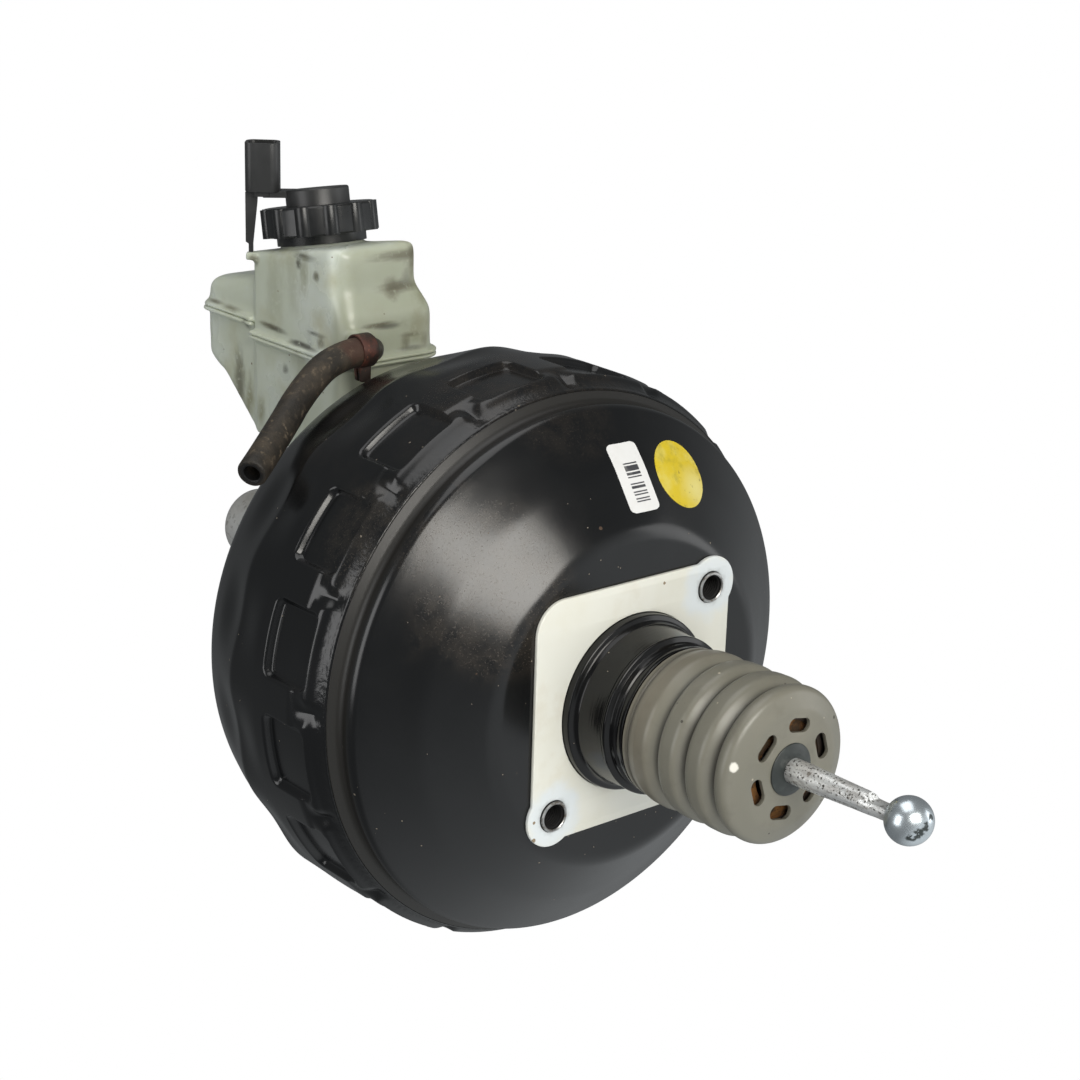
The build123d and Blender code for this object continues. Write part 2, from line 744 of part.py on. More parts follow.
def main_plan(inset=0.0):
    return plan(tank_left, tank_right, tank_rear_y, tank_front_y, front_corner, rear_corner, inset)


def upper_plan(inset=0.0):
    return plan(tank_left, upper_right, upper_rear_y, tank_front_y, front_corner, rear_corner + 3.0, inset)


def nose_plan(inset=0.0):
    return plan(nose_left, nose_right, tank_front_y - 20.0, nose_front_y, nose_corner, 0.5, inset)


def top_at(y, z_front, inset):
    """Height of a leaning top face at a depth."""
    return z_front + (tank_front_y - y) * math.tan(math.radians(tank_tilt)) - inset


def lower_main(inset=0.0):
    floor = tank_bottom_z + inset
    rear = tank_rear_y + inset
    profile = [(rear - 9, seam_z), (tank_front_y + 9, seam_z), (tank_front_y + 9, floor + 2),
               (tank_front_y - inset, floor + 2), (rear + 12, floor), (rear + 2, floor + 10), (rear - 9, floor + 46)]
    return slab(main_plan(inset), tank_bottom_z, seam_z) & side_prism(profile, [0, 0, 0, 0, 3, 6, 0])


def lower_nose(inset=0.0, start_y=tank_front_y):
    front = nose_front_y - inset
    profile = [(start_y, nose_seam_z), (front + 9, nose_seam_z), (front + 9, 97 + inset), (front, 97 + inset),
               (front - 10, 91 + inset), (front - 16, 89 + inset), (tank_front_y, tank_bottom_z + 2 + inset),
               (start_y, tank_bottom_z + 2 + inset)]
    rounds = [0, 0, 0, 3, 4, 4, 0, 0]
    if start_y == tank_front_y:
        profile.pop()
        rounds.pop()
    return slab(nose_plan(inset), tank_bottom_z, nose_seam_z) & side_prism(profile, rounds)


def upper_main(inset=0.0):
    rear = upper_rear_y + inset
    front = tank_front_y - inset
    shelf = loft([Pos(0, 0, shelf_low_z) * main_plan(inset), Pos(0, 0, shelf_high_z) * upper_plan(inset)])
    block = slab(main_plan(inset), seam_z, shelf_low_z) + shelf
    block += slab(upper_plan(inset), shelf_high_z, shelf_high_z + 40.0)
    profile = [(tank_rear_y - 5, seam_z), (front + 5, seam_z), (front + 5, top_at(front, tank_top_z, inset) - 12),
               (front, top_at(front, tank_top_z, inset) - 6), (front, top_at(front, tank_top_z, inset)),
               (rear, top_at(rear, tank_top_z, inset)), (rear, shelf_high_z), (tank_rear_y - 5, shelf_high_z)]
    block &= side_prism(profile, [0, 0, 0, 0, 2.0, 6.0, 0, 0])
    left = tank_left + inset - 0.03
    right = upper_right - inset + 0.03
    cross = [(left, -60), (left, 0), (right, 0), (right, -12), (right + 24, -30), (right + 24, -60)]
    bar = extrude(Plane.XZ * make_face(FilletPolyline(*cross, radius=[0, 2.5, 7, 3, 0, 0], close=True)),
                  110.0, both=True)
    return block & (Pos(0, tank_front_y, tank_top_z - inset + 0.03) * Rot(-tank_tilt, 0, 0) * bar)


def upper_nose(inset=0.0, start_y=tank_front_y):
    front = nose_front_y - inset
    profile = [(start_y, nose_seam_z), (front, nose_seam_z), (front, top_at(front, nose_top_z, inset)),
               (start_y, top_at(start_y, nose_top_z, inset))]
    block = slab(nose_plan(inset), nose_seam_z, nose_top_z + 10) & side_prism(profile, [0, 0, 9.0 - inset, 0])
    left = nose_left + inset - 0.03
    right = nose_right - inset + 0.03
    cross = [(left, -60), (left, 0), (right, 0), (right, -60)]
    bar = extrude(Plane.XZ * make_face(FilletPolyline(*cross, radius=[0, 8.0, 8.0, 0], close=True)),
                  110.0, both=True)
    return block & (Pos(0, tank_front_y, nose_top_z - inset + 0.03) * Rot(-tank_tilt, 0, 0) * bar)


def main_flange(z0, z1):
    """Weld flange of the main chamber, clear of the front chamber."""
    beside = Pos((nose_left + nose_right) / 2, tank_front_y + 5.0, (z0 + z1) / 2) * Box(
        nose_right - nose_left + 2 * seam_reach, 10.0, 20.0)
    return slab(main_plan(-seam_reach), z0, z1) - beside


def nose_flange(z0, z1):
    block = slab(nose_plan(-seam_reach), z0, z1)
    return block & (Pos(0, tank_front_y + 50.0, (z0 + z1) / 2) * Box(100.0, 100.0, 20.0))


def make_reservoir_lower():
    shell = lower_main() + lower_nose()
    shell += main_flange(seam_z - seam_thick, seam_z)
    shell += nose_flange(nose_seam_z - seam_thick, nose_seam_z)
    for y in port_ys:
        shell += rod_z(port_neck_radius, port_neck_end_z, tank_bottom_z + 4, 0, y)
    lug_y = sum(port_ys) / 2
    shell += Pos(0, lug_y, 44.0) * Box(11.0, 11.0, 42.0)
    shell -= lower_main(tank_wall)
    shell -= lower_nose(tank_wall, tank_front_y - 6.0)
    for y in port_ys:
        shell -= rod_z(port_neck_radius - 2.0, port_neck_end_z - 1, tank_bottom_z + 8, 0, y)
    shell -= rod_x(2.5, -20, 20, lug_y, 29.0)
    return shell


def cap_place():
    """Foot of the leaning filler neck on the reservoir's top face."""
    return Pos(cap_x, cap_y, top_at(cap_y, tank_top_z, 0.0)) * Rot(-tank_tilt, 0, 0)


def make_reservoir_upper():
    shell = upper_main() + upper_nose()
    shell += main_flange(seam_z, seam_z + seam_thick)
    shell += nose_flange(nose_seam_z, nose_seam_z + seam_thick)
    shell += cap_place() * rod_z(neck_outer, -4.0, neck_height)
    shell -= upper_main(tank_wall)
    shell -= upper_nose(tank_wall, tank_front_y - 6.0)
    shell -= cap_place() * rod_z(neck_bore, -12.0, neck_height + 1.0)
    # Small post at the corner that the sensor's blade stands on
    post = Rot(0, 0, plug_heading) * Pos(blade_reach - 2.6, 0, 0) * Box(5.0, 6.0, 4.0)
    shell += Pos(plug_x, plug_y, blade_foot_z - 2.0) * post
    # Feed spigot: boss out of the rear wall, turned to the left, with a barbed end
    shell += rod_y(6.0, spigot_y, tank_rear_y + 1.0, spigot_x, spigot_z)
    shell += Pos(spigot_x, spigot_y, spigot_z) * Sphere(6.0)
    shell += rod_x(6.0, hose_start_x, spigot_x, spigot_y, spigot_z)
    shell += rod_x(hose_bore - run_fit, hose_start_x - 11.5, hose_start_x, spigot_y, spigot_z)
    shell -= rod_x(2.2, hose_start_x - 12.5, spigot_x, spigot_y, spigot_z)
    shell -= rod_y(2.2, spigot_y, tank_rear_y + 4.0, spigot_x, spigot_z)
    return shell


def make_grommets():
    rings = []
    for y in port_ys:
        rings.append(turned_up([
            (port_neck_radius + 0.05, 20.0), (port_bore - 0.05, 20.0), (port_bore - 0.05, port_boss_top),
            (port_bore + 2.6, port_boss_top), (port_bore + 2.6, port_boss_top + 2.6),
            (port_neck_radius + 0.05, port_boss_top + 2.6),
        ], 0, y))
    return Compound(rings)


def make_reservoir_pin():
    return rod_x(2.45, -13.0, 13.0, sum(port_ys) / 2, 29.0)


def make_cap_ring():
    inner = neck_outer + seat_gap
    ring = turned_up([
        (inner, cap_skirt_bottom), (cap_skirt_radius, cap_skirt_bottom), (cap_skirt_radius, cap_bottom),
        (cap_radius - 1.6, cap_bottom), (cap_radius - 1.6, cap_top), (insert_radius + seat_gap, cap_top),
        (insert_radius + seat_gap, cap_top - cap_roof), (inner, cap_top - cap_roof),
    ], 0, 0, {3: 1.0, 4: 1.5})
    for i in range(cap_lobes):
        angle = math.radians(i * 360.0 / cap_lobes + 8.0)
        reach = cap_radius - cap_lobe_radius
        lobe = rod_z(cap_lobe_radius, cap_bottom, cap_top - 0.4, reach * math.cos(angle), reach * math.sin(angle))
        ring += lobe - rod_z(neck_outer + 2.0, cap_bottom - 1, cap_top - cap_roof)
    return cap_place() * ring


def make_cap_seal():
    return cap_place() * turned_up([
        (neck_bore - 0.6, neck_height), (neck_outer - 0.4, neck_height), (neck_outer - 0.4, neck_height + 1.4),
        (neck_bore - 0.6, neck_height + 1.4),
    ], 0, 0)


def make_level_sensor():
    """Level sensor: disc that the cap ring holds down, tube for the float, arm, connector and blade."""
    under = neck_height + 1.4
    rim = cap_top - cap_roof - 0.1
    disc = turned_up([
        (0, under), (neck_outer - 0.4, under), (neck_outer - 0.4, rim), (insert_radius, rim),
        (insert_radius, insert_top), (0, insert_top),
    ], 0, 0, {4: 1.2})
    disc += rod_z(neck_bore - 1.2, under - 6.0, under)
    disc += rod_z(sensor_tube_radius, sensor_tube_end, under)
    disc += rod_z(sensor_tube_radius + 3.5, sensor_tube_end - 2.0, sensor_tube_end)
    body = cap_place() * disc
    top = cap_place() * Pos(0, 0, insert_top - 4.0)
    dx = plug_x - top.position.X
    dy = plug_y - top.position.Y
    reach = math.hypot(dx, dy)
    heading = math.degrees(math.atan2(dy, dx))
    body += Pos(top.position.X, top.position.Y, arm_z + arm_thick / 2) * Rot(0, 0, heading) * Pos(
        reach / 2 + 2.0, 0, 0) * Box(reach - 4.0, arm_width, arm_thick)
    foot = Pos(plug_x, plug_y, arm_z) * Rot(0, 0, plug_heading)
    body += foot * Pos(0, 0, plug_rise) * extrude(
        RectangleRounded(plug_width, plug_depth, 4.0), plug_top_z - arm_z - plug_rise)
    body += foot * Pos(0, 0, 0.4) * extrude(RectangleRounded(9.0, arm_width, 2.0), plug_rise)
    body -= foot * Pos(0, 0, 6.0) * extrude(
        RectangleRounded(plug_width - 3.2, plug_depth - 3.2, 2.4), plug_top_z - arm_z)
    side = [(2.5, arm_z + 2), (2.8, arm_z - 3), (blade_reach - 3.4, blade_foot_z + 4.0),
            (blade_reach - 3.4, blade_foot_z), (blade_reach - 1.4, blade_foot_z),
            (blade_reach - 1.4, blade_foot_z + 4.0), (blade_reach, blade_foot_z + 5.0), (blade_reach, arm_z + 2)]
    blade = extrude(Plane.XZ * make_face(Polyline(*side, close=True)), 1.4, both=True)
    body += Pos(plug_x, plug_y, 0) * Rot(0, 0, plug_heading) * blade
    return body


def make_sensor_pins():
    pins = []
    for offset in (-2.6, 2.6):
        pins.append(Pos(offset, 0, 10.0) * Box(1.6, 0.7, 8.0))
    return Pos(plug_x, plug_y, arm_z) * Rot(0, 0, plug_heading) * Compound(pins)


def make_float():
    ring = turned_up([
        (sensor_tube_radius + seat_gap, sensor_tube_end + 0.1), (float_radius, sensor_tube_end + 0.1),
        (float_radius, sensor_tube_end + float_height), (sensor_tube_radius + seat_gap, sensor_tube_end + float_height),
    ], 0, 0)
    return cap_place() * ring


def make_feed_hose():
    radii = []
    for i in range(1, len(hose_route) - 1):
        before = Vector(*hose_route[i]) - Vector(*hose_route[i - 1])
        after = Vector(*hose_route[i + 1]) - Vector(*hose_route[i])
        turn = math.radians(before.get_angle(after))
        radii.append(0.45 * min(before.length, after.length) / math.tan(turn / 2))
    print("hose arc radii", [round(r, 1) for r in radii])
    path = FilletPolyline(*hose_route, radius=radii)
    start = Plane(path @ 0, z_dir=path % 0)
    outer = sweep(start * Circle(hose_radius), path=path)
    inner = sweep(start * Circle(hose_bore), path=path)
    hose = outer - inner
    section = math.pi * (hose_radius ** 2 - hose_bore ** 2)
    print("hose length", round(path.length, 1), "volume ratio", round(hose.volume / (section * path.length), 4))
    return hose


def make_hose_clamp():
    """Flat band clamp with its pinched ear, around the hose on the spigot."""
    x0 = hose_start_x - 11.0
    ring = rod_x(hose_radius + 1.0, x0, x0 + 7.0, spigot_y, spigot_z)
    ear = Pos(x0 + 3.5, spigot_y - 3.0, spigot_z - hose_radius - 2.4) * Box(7.0, 5.0, 5.0)
    clamp = ring + ear
    clamp -= rod_x(hose_radius + part_gap, x0 - 1, x0 + 8.0, spigot_y, spigot_z)
    return clamp


def make_valve_grommet():
    y0 = face_y - 12.0
    return Pos(valve_x, 0, valve_z) * turned([
        (valve_radius - 2.0, y0), (valve_radius + 4.0, y0), (valve_radius + 4.0, y0 + 4.0),
        (valve_radius + 1.8, y0 + 4.0), (valve_radius + 1.8, face_y + 2.0), (valve_radius + 4.0, face_y + 2.0),
        (valve_radius + 4.0, face_y + 5.0), (valve_radius - 2.0, face_y + 5.0),
    ])


def make_check_valve():
    """Check valve housing with the elbow for the vacuum hose."""
    y0 = face_y - 14.0
    end = face_y + 22.0
    body = rod_y(valve_radius - 2.0 - run_fit, y0, face_y + 5.0, valve_x, valve_z)
    body += rod_y(valve_radius + 3.0, face_y + 5.0, face_y + 12.0, valve_x, valve_z)
    body += rod_y(nipple_radius + 1.0, face_y + 12.0, end, valve_x, valve_z)
    body += Pos(valve_x, end, valve_z) * Sphere(nipple_radius + 1.0)
    collar_x = nipple_end_x - nipple_length
    body += rod_x(nipple_radius + 1.0, valve_x, collar_x, end, valve_z)
    body += rod_x(nipple_radius, collar_x, nipple_end_x, end, valve_z)
    body -= rod_x(nipple_bore, valve_x, nipple_end_x + 1.0, end, valve_z)
    body -= rod_y(nipple_bore, y0 - 1, end, valve_x, valve_z)
    body -= rod_y(valve_radius - 4.0, y0 + 2.0, y0 + 12.0, valve_x, valve_z)
    return body


def make_valve_disc():
    y0 = face_y - 14.0
    return rod_y(valve_radius - 4.0 - seat_gap, y0 + 7.0, y0 + 9.0, valve_x, valve_z)


nodes = {
    "front_shell": make_front_shell,
    "rear_shell": make_rear_shell,
    "mounting_gasket": make_gasket,
    "mounting_sockets": make_sockets,
    "neck_sleeve": make_neck_sleeve,
    "guide_seal": make_guide_seal,
    "guide_ring": make_guide_ring,
    "diaphragm": make_diaphragm,
    "diaphragm_plate": make_diaphragm_plate,
    "valve_body": make_valve_body,
    "return_spring": lambda: coil(spring_radius, 1.9, plate_y + plate_thick + hub_thick, face_y - sheet, 7),
    "reaction_disc": make_reaction_disc,
    "output_push_rod": make_output_rod,
    "output_rod_tip": make_rod_tip,
    "valve_plunger": make_plunger,
    "poppet_valve": make_poppet,
    "poppet_retainer": make_poppet_retainer,
    "poppet_spring": make_poppet_spring,
    "rod_return_spring": make_rod_spring,
    "input_push_rod": make_input_rod,
    "rod_bush": make_rod_bush,
    "air_filter": make_air_filter,
    "filter_ring": make_filter_ring,
    "dust_boot": make_dust_boot,
    "master_cylinder_body": make_master_cylinder,
    "spigot_o_ring": make_o_ring,
    "primary_piston": make_primary_piston,
    "secondary_piston": make_secondary_piston,
    "primary_cups": lambda: make_cups(primary_grooves),
    "secondary_cups": lambda: make_cups(secondary_grooves),
    "primary_spring": lambda: coil(7.0, 0.9, primary_y1, secondary_y0, 4),
    "secondary_spring": lambda: coil(7.0, 0.9, secondary_y1, bore_end_y, 4),
    "cylinder_studs": make_studs,
    "flange_nuts": make_nuts,
    "reservoir_grommets": make_grommets,
    "reservoir_lower": make_reservoir_lower,
    "reservoir_upper": make_reservoir_upper,
    "reservoir_pin": make_reservoir_pin,
    "cap_ring": make_cap_ring,
    "cap_seal": make_cap_seal,
    "level_sensor": make_level_sensor,
    "sensor_pins": make_sensor_pins,
    "level_float": make_float,
    "feed_hose": make_feed_hose,
    "hose_clamp": make_hose_clamp,
    "valve_grommet": make_valve_grommet,
    "check_valve": make_check_valve,
    "check_valve_disc": make_valve_disc,
}

os.makedirs("parts", exist_ok=True)
for name, make in nodes.items():
    export_step(make(), f"parts/{name}.step")
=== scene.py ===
import math

import bmesh
import bpy
import numpy as np
from mathutils import Matrix, Vector


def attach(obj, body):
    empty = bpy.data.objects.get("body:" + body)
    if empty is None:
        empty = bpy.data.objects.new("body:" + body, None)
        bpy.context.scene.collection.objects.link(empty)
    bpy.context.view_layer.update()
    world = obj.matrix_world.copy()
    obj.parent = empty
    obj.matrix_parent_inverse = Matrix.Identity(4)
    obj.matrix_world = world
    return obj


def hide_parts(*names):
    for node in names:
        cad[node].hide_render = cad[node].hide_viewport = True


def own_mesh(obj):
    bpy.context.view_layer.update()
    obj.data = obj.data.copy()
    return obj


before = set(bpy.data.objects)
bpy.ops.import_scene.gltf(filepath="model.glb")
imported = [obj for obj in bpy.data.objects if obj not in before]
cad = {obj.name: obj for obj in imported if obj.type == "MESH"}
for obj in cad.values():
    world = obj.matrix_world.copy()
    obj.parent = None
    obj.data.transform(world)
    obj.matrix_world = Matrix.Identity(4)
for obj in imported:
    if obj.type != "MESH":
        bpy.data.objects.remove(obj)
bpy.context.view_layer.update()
MM = 0.001

# Camera. It stands behind the pedal side, to the left of the booster and above it, as in the photo.
camera_place = Vector((-0.6267, -0.6785, 0.3809))
camera_heading, camera_pitch, camera_roll = (math.radians(v) for v in (40.10, 18.52, 1.76))
forward = Vector((math.sin(camera_heading) * math.cos(camera_pitch),
                  math.cos(camera_heading) * math.cos(camera_pitch), -math.sin(camera_pitch)))
level = forward.cross(Vector((0, 0, 1))).normalized()
right = math.cos(camera_roll) * level + math.sin(camera_roll) * level.cross(forward)
above = right.cross(forward)
camera_data = bpy.data.cameras.new("camera")
camera_data.lens = 76.67
camera_data.clip_start = 0.02
camera = bpy.data.objects.new("camera", camera_data)
camera.matrix_world = Matrix((
    (right.x, above.x, -forward.x, camera_place.x),
    (right.y, above.y, -forward.y, camera_place.y),
    (right.z, above.z, -forward.z, camera_place.z),
    (0, 0, 0, 1)))
bpy.context.scene.collection.objects.link(camera)
bpy.context.scene.camera = camera
bpy.context.scene.view_settings.view_transform = "Standard"


def link_object(name, data):
    made = bpy.data.objects.new(name, data)
    bpy.context.scene.collection.objects.link(made)
    return made


def baked(made):
    """The plain mesh of an object, with its modifiers or curve settings run."""
    bpy.context.view_layer.update()
    return bpy.data.meshes.new_from_object(made.evaluated_get(bpy.context.evaluated_depsgraph_get()))


def reworked(data, *steps):
    """Run the steps on a mesh through bmesh."""
    work = bmesh.new()
    work.from_mesh(data)
    for step in steps:
        step(work)
    work.to_mesh(data)
    work.free()


def merge_within(distance):
    return lambda work: bmesh.ops.remove_doubles(work, verts=work.verts, dist=distance)


def face_outwards(work):
    bmesh.ops.recalc_face_normals(work, faces=work.faces)


def shaded(name, data, sharp):
    """An object of the mesh, smooth but for edges over the angle sharp, in degrees."""
    data.shade_smooth()
    data.set_sharp_from_angle(angle=math.radians(sharp))
    return link_object(name, data)


def solid(name, points, faces, sharp=35.0):
    """An object from points in millimetres. Doubles are merged and the normals face outwards."""
    data = bpy.data.meshes.new(name)
    data.from_pydata((np.asarray(points, float) * MM).tolist(), [], [list(f) for f in faces])
    reworked(data, merge_within(1e-7),
             lambda work: bmesh.ops.dissolve_degenerate(work, edges=work.edges, dist=1e-8), face_outwards)
    return shaded(name, data, sharp)


def even(count):
    """Angles of a full turn in equal steps."""
    return np.arange(count) * 2 * math.pi / count


def wrap_faces(rings, around, closed_rings=False):
    """Quads of a grid whose rows run around and close."""
    faces = []
    for i in range(rings if closed_rings else rings - 1):
        a, b = i * around, ((i + 1) % rings) * around
        for j in range(around):
            k = (j + 1) % around
            faces.append((a + j, a + k, b + k, b + j))
    return faces


def node(tree, kind, inputs=None, **settings):
    made = tree.nodes.new(kind)
    for key, value in settings.items():
        setattr(made, key, value)
    for key, value in (inputs or {}).items():
        if isinstance(value, bpy.types.NodeSocket):
            tree.links.new(value, made.inputs[key])
        else:
            made.inputs[key].default_value = value
    return made


def group_tree(name, kind, inputs, output, output_kind):
    """A node group with one output. An input is given by its default number, or by the kind of its socket."""
    tree = bpy.data.node_groups.new(name, kind)
    for label, value in inputs.items():
        if isinstance(value, str):
            tree.interface.new_socket(label, in_out="INPUT", socket_type="NodeSocket" + value)
        else:
            number = "NodeSocketInt" if isinstance(value, int) else "NodeSocketFloat"
            tree.interface.new_socket(label, in_out="INPUT", socket_type=number).default_value = value
    tree.interface.new_socket(output, in_out="OUTPUT", socket_type="NodeSocket" + output_kind)
    return tree, node(tree, "NodeGroupInput").outputs, node(tree, "NodeGroupOutput").inputs[output]


def clamp_map(tree, value, low, high):
    """0 at low and 1 at high, smoothly."""
    return node(tree, "ShaderNodeMapRange", {"Value": value, "From Min": low, "From Max": high},
                interpolation_type="SMOOTHSTEP").outputs["Result"]


def reckon(tree, operation, *values):
    return node(tree, "ShaderNodeMath", dict(enumerate(values)), operation=operation).outputs[0]


def noise(tree, vector, scale, detail, **inputs):
    given = {"Vector": vector, "Scale": scale, "Detail": detail, **inputs}
    return node(tree, "ShaderNodeTexNoise", given).outputs["Fac"]


# Cloudy mask from noise, 0 below Low and 1 above High.
mottle, given, mask_out = group_tree("mottle", "ShaderNodeTree", {
    "Vector": "Vector", "Scale": 40.0, "Detail": 5.0, "Low": 0.45, "High": 0.7}, "Mask", "Float")
clouds = noise(mottle, given["Vector"], given["Scale"], given["Detail"], Roughness=0.62)
mottle.links.new(clamp_map(mottle, clouds, given["Low"], given["High"]), mask_out)

# One stain with a ragged edge around Centre, full inside Core, a share of its radius.
stain, given, mask_out = group_tree("stain", "ShaderNodeTree", {
    "Vector": "Vector", "Centre": "Vector", "Radius": 0.01, "Ragged": 0.8, "Scale": 250.0, "Core": 0.55},
    "Mask", "Float")
away = node(stain, "ShaderNodeVectorMath", {0: given["Vector"], 1: given["Centre"]}, operation="DISTANCE")
share = reckon(stain, "DIVIDE", away.outputs["Value"], given["Radius"])
bent = reckon(stain, "SUBTRACT", noise(stain, given["Vector"], given["Scale"], 4.0), 0.5)
wide = reckon(stain, "MULTIPLY_ADD", bent, given["Ragged"], share)
stain.links.new(clamp_map(stain, wide, 1.0, given["Core"]), mask_out)


class Finish:
    """A Principled material in the making: masks from the shared groups laid over a base colour."""

    def __init__(self, name, colour, roughness, **inputs):
        self.material = bpy.data.materials.new(name)
        self.material.use_nodes = True
        self.tree = self.material.node_tree
        self.shader = self.tree.nodes["Principled BSDF"]
        self.where = node(self.tree, "ShaderNodeTexCoord").outputs["Object"]
        self.colour = (*colour, 1.0)
        self.roughness = roughness
        self.shader.inputs["Base Color"].default_value = self.colour
        self.shader.inputs["Roughness"].default_value = roughness
        for key, value in inputs.items():
            self.shader.inputs[key.replace("_", " ")].default_value = value

    def group(self, tree, **inputs):
        made = node(self.tree, "ShaderNodeGroup", {"Vector": self.where, **inputs}, node_tree=tree)
        return made.outputs["Mask"]

    def math(self, operation, *values):
        return reckon(self.tree, operation, *values)

    def axis(self, name):
        return node(self.tree, "ShaderNodeSeparateXYZ", {0: self.where}).outputs[name]

    def between(self, value, low, high):
        return clamp_map(self.tree, value, low, high)

    def mottle(self, scale, low, high, detail=5.0, vector=None):
        return self.group(mottle, Vector=vector or self.where, Scale=scale, Low=low, High=high, Detail=detail)

    def stretched(self, x, y, z):
        return node(self.tree, "ShaderNodeMapping", {"Vector": self.where, "Scale": (x, y, z)}).outputs[0]

    def lay(self, mask, colour, roughness=None, strength=1.0):
        """Lay a colour, and a roughness with it, over what is there where the mask is 1."""
        if strength != 1.0:
            mask = self.math("MULTIPLY", mask, strength)
        over = {"Factor": mask, 6: self.colour, 7: (*colour, 1.0)}
        self.colour = node(self.tree, "ShaderNodeMix", over, data_type="RGBA").outputs[2]
        if roughness is not None:
            over = {"Factor": mask, 2: self.roughness, 3: roughness}
            self.roughness = node(self.tree, "ShaderNodeMix", over, data_type="FLOAT").outputs[0]
        return mask

    def clouds(self, scale, low, high, colour, roughness=None, strength=1.0, detail=5.0):
        return self.lay(self.mottle(scale, low, high, detail), colour, roughness, strength)

    def flecks(self, scale, share, size, colour, roughness=None):
        return self.lay(self.group(specks, Scale=scale, Share=share, Size=size), colour, roughness)

    def dust(self, scale, low, high, colour, roughness, strength):
        """Clouds on what faces up."""
        turned = node(self.tree, "ShaderNodeTexCoord").outputs["Normal"]
        upward = self.between(node(self.tree, "ShaderNodeSeparateXYZ", {0: turned}).outputs["Z"], 0.2, 0.9)
        mask = self.math("MULTIPLY", self.mottle(scale, low, high, 8.0), upward)
        self.lay(mask, colour, roughness, strength)

    def bump(self, height, strength, distance):
        inputs = {"Height": height, "Strength": strength, "Distance": distance}
        if self.shader.inputs["Normal"].is_linked:
            inputs["Normal"] = self.shader.inputs["Normal"].links[0].from_socket
        made = node(self.tree, "ShaderNodeBump", inputs)
        self.tree.links.new(made.outputs["Normal"], self.shader.inputs["Normal"])

    def grain(self, scale, strength, distance, detail=3.0, vector=None):
        self.bump(noise(self.tree, vector or self.where, scale, detail), strength, distance)

    def done(self):
        for key, value in (("Base Color", self.colour), ("Roughness", self.roughness)):
            if isinstance(value, bpy.types.NodeSocket):
                self.tree.links.new(value, self.shader.inputs[key])
        return self.material


def dress(made, material, body, slot_name, *stands_for):
    """Give a piece its one material, put it on its body, and hide the CAD parts it stands for."""
    made.data.materials.clear()
    made.data.materials.append(material)
    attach(made, body)
    if stands_for:
        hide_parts(*stands_for)
    return made


# Feed hose. A fabric-marked rubber hose pushed on the reservoir's barb and cut off square at its free end,
# weathered grey-brown. It hangs down to the left, held by its own stiffness.
hose_route = [(-20.5, 166.0, 124.5), (-41.0, 166.0, 124.5), (-66.0, 156.0, 113.4), (-88.0, 143.0, 99.4),
              (-112.0, 127.0, 89.4)]
hose_radius = 6.8
hose_bore = 3.8
hose_around = 64

line_data = bpy.data.curves.new("hose_line", "CURVE")
line_data.dimensions = "3D"
line_data.resolution_u = 40
spline = line_data.splines.new("NURBS")
spline.points.add(len(hose_route) - 1)
for point, place in zip(spline.points, hose_route):
    point.co = (*(v * MM for v in place), 1.0)
spline.order_u = 3
spline.use_endpoint_u = True
line_object = link_object("hose_line", line_data)
hose_path = np.array([v.co for v in baked(line_object).vertices], float) / MM
bpy.data.objects.remove(line_object)


def frames_along(path):
    """Tangents and two carried normals along a path, with no twist."""
    tangents = np.gradient(path, axis=0)
    tangents /= np.linalg.norm(tangents, axis=1)[:, None]
    side = np.cross(tangents[0], (0, 0, 1.0))
    side /= np.linalg.norm(side)
    sides = []
    for t in tangents:
        side = side - t * (side @ t)
        side /= np.linalg.norm(side)
        sides.append(side)
    sides = np.array(sides)
    return tangents, sides, np.cross(tangents, sides)


def hose_ring(at, radius, shift=0.0, rough=0.0):
    angles = even(hose_around)
    lumps = 1 + rough * (0.5 * np.sin(5 * angles + at * 0.31) + 0.5 * np.sin(3 * angles - at * 0.17 + 1.0))
    spot = hose_path[at] + hose_tangents[at] * shift
    return (spot + np.outer(np.cos(angles) * radius * lumps, hose_sides[at])
            + np.outer(np.sin(angles) * radius * lumps, hose_ups[at]))


hose_tangents, hose_sides, hose_ups = frames_along(hose_path)
last = len(hose_path) - 1
rings = [hose_ring(0, hose_bore), hose_ring(0, hose_radius - 0.5), hose_ring(0, hose_radius, 0.5)]
rings += [hose_ring(i, hose_radius, 0.0, 0.006) for i in range(3, last - 2)]
rings += [hose_ring(last, hose_radius - 0.05, -0.9), hose_ring(last, hose_radius - 0.35, -0.2),
          hose_ring(last, hose_radius - 0.8, 0.0), hose_ring(last, hose_bore + 0.5, 0.0),
          hose_ring(last, hose_bore, -0.4)]
rings += [hose_ring(i, hose_bore) for i in range(last - 3, 0, -4)]
hose = solid("feed_hose_tube", np.concatenate(rings), wrap_faces(len(rings), hose_around, True), 50)

paint = Finish("hose_rubber", (0.022, 0.019, 0.015), 0.55, Specular_IOR_Level=0.3)
paint.clouds(60.0, 0.38, 0.66, (0.052, 0.041, 0.029), 0.68, detail=8.0)
paint.clouds(300.0, 0.54, 0.68, (0.130, 0.102, 0.070), 0.8, 0.7, detail=6.0)
paint.clouds(26.0, 0.50, 0.66, (0.010, 0.009, 0.008), 0.45, 0.75)
paint.lay(paint.group(stain, Centre=(-0.034, 0.160, 0.129), Radius=0.010, Scale=180.0),
          (0.065, 0.022, 0.014), 0.65, 0.45)
end_mask = paint.group(stain, Centre=tuple(v * MM for v in hose_route[-1]), Radius=0.0075, Ragged=0.2)
paint.lay(end_mask, (0.006, 0.006, 0.006), 0.35)
paint.grain(900.0, 0.5, 0.0006, 6.0)
paint.grain(2600.0, 0.3, 0.0002)
dress(hose, paint.done(), "casing", "hose_rubber", "feed_hose")


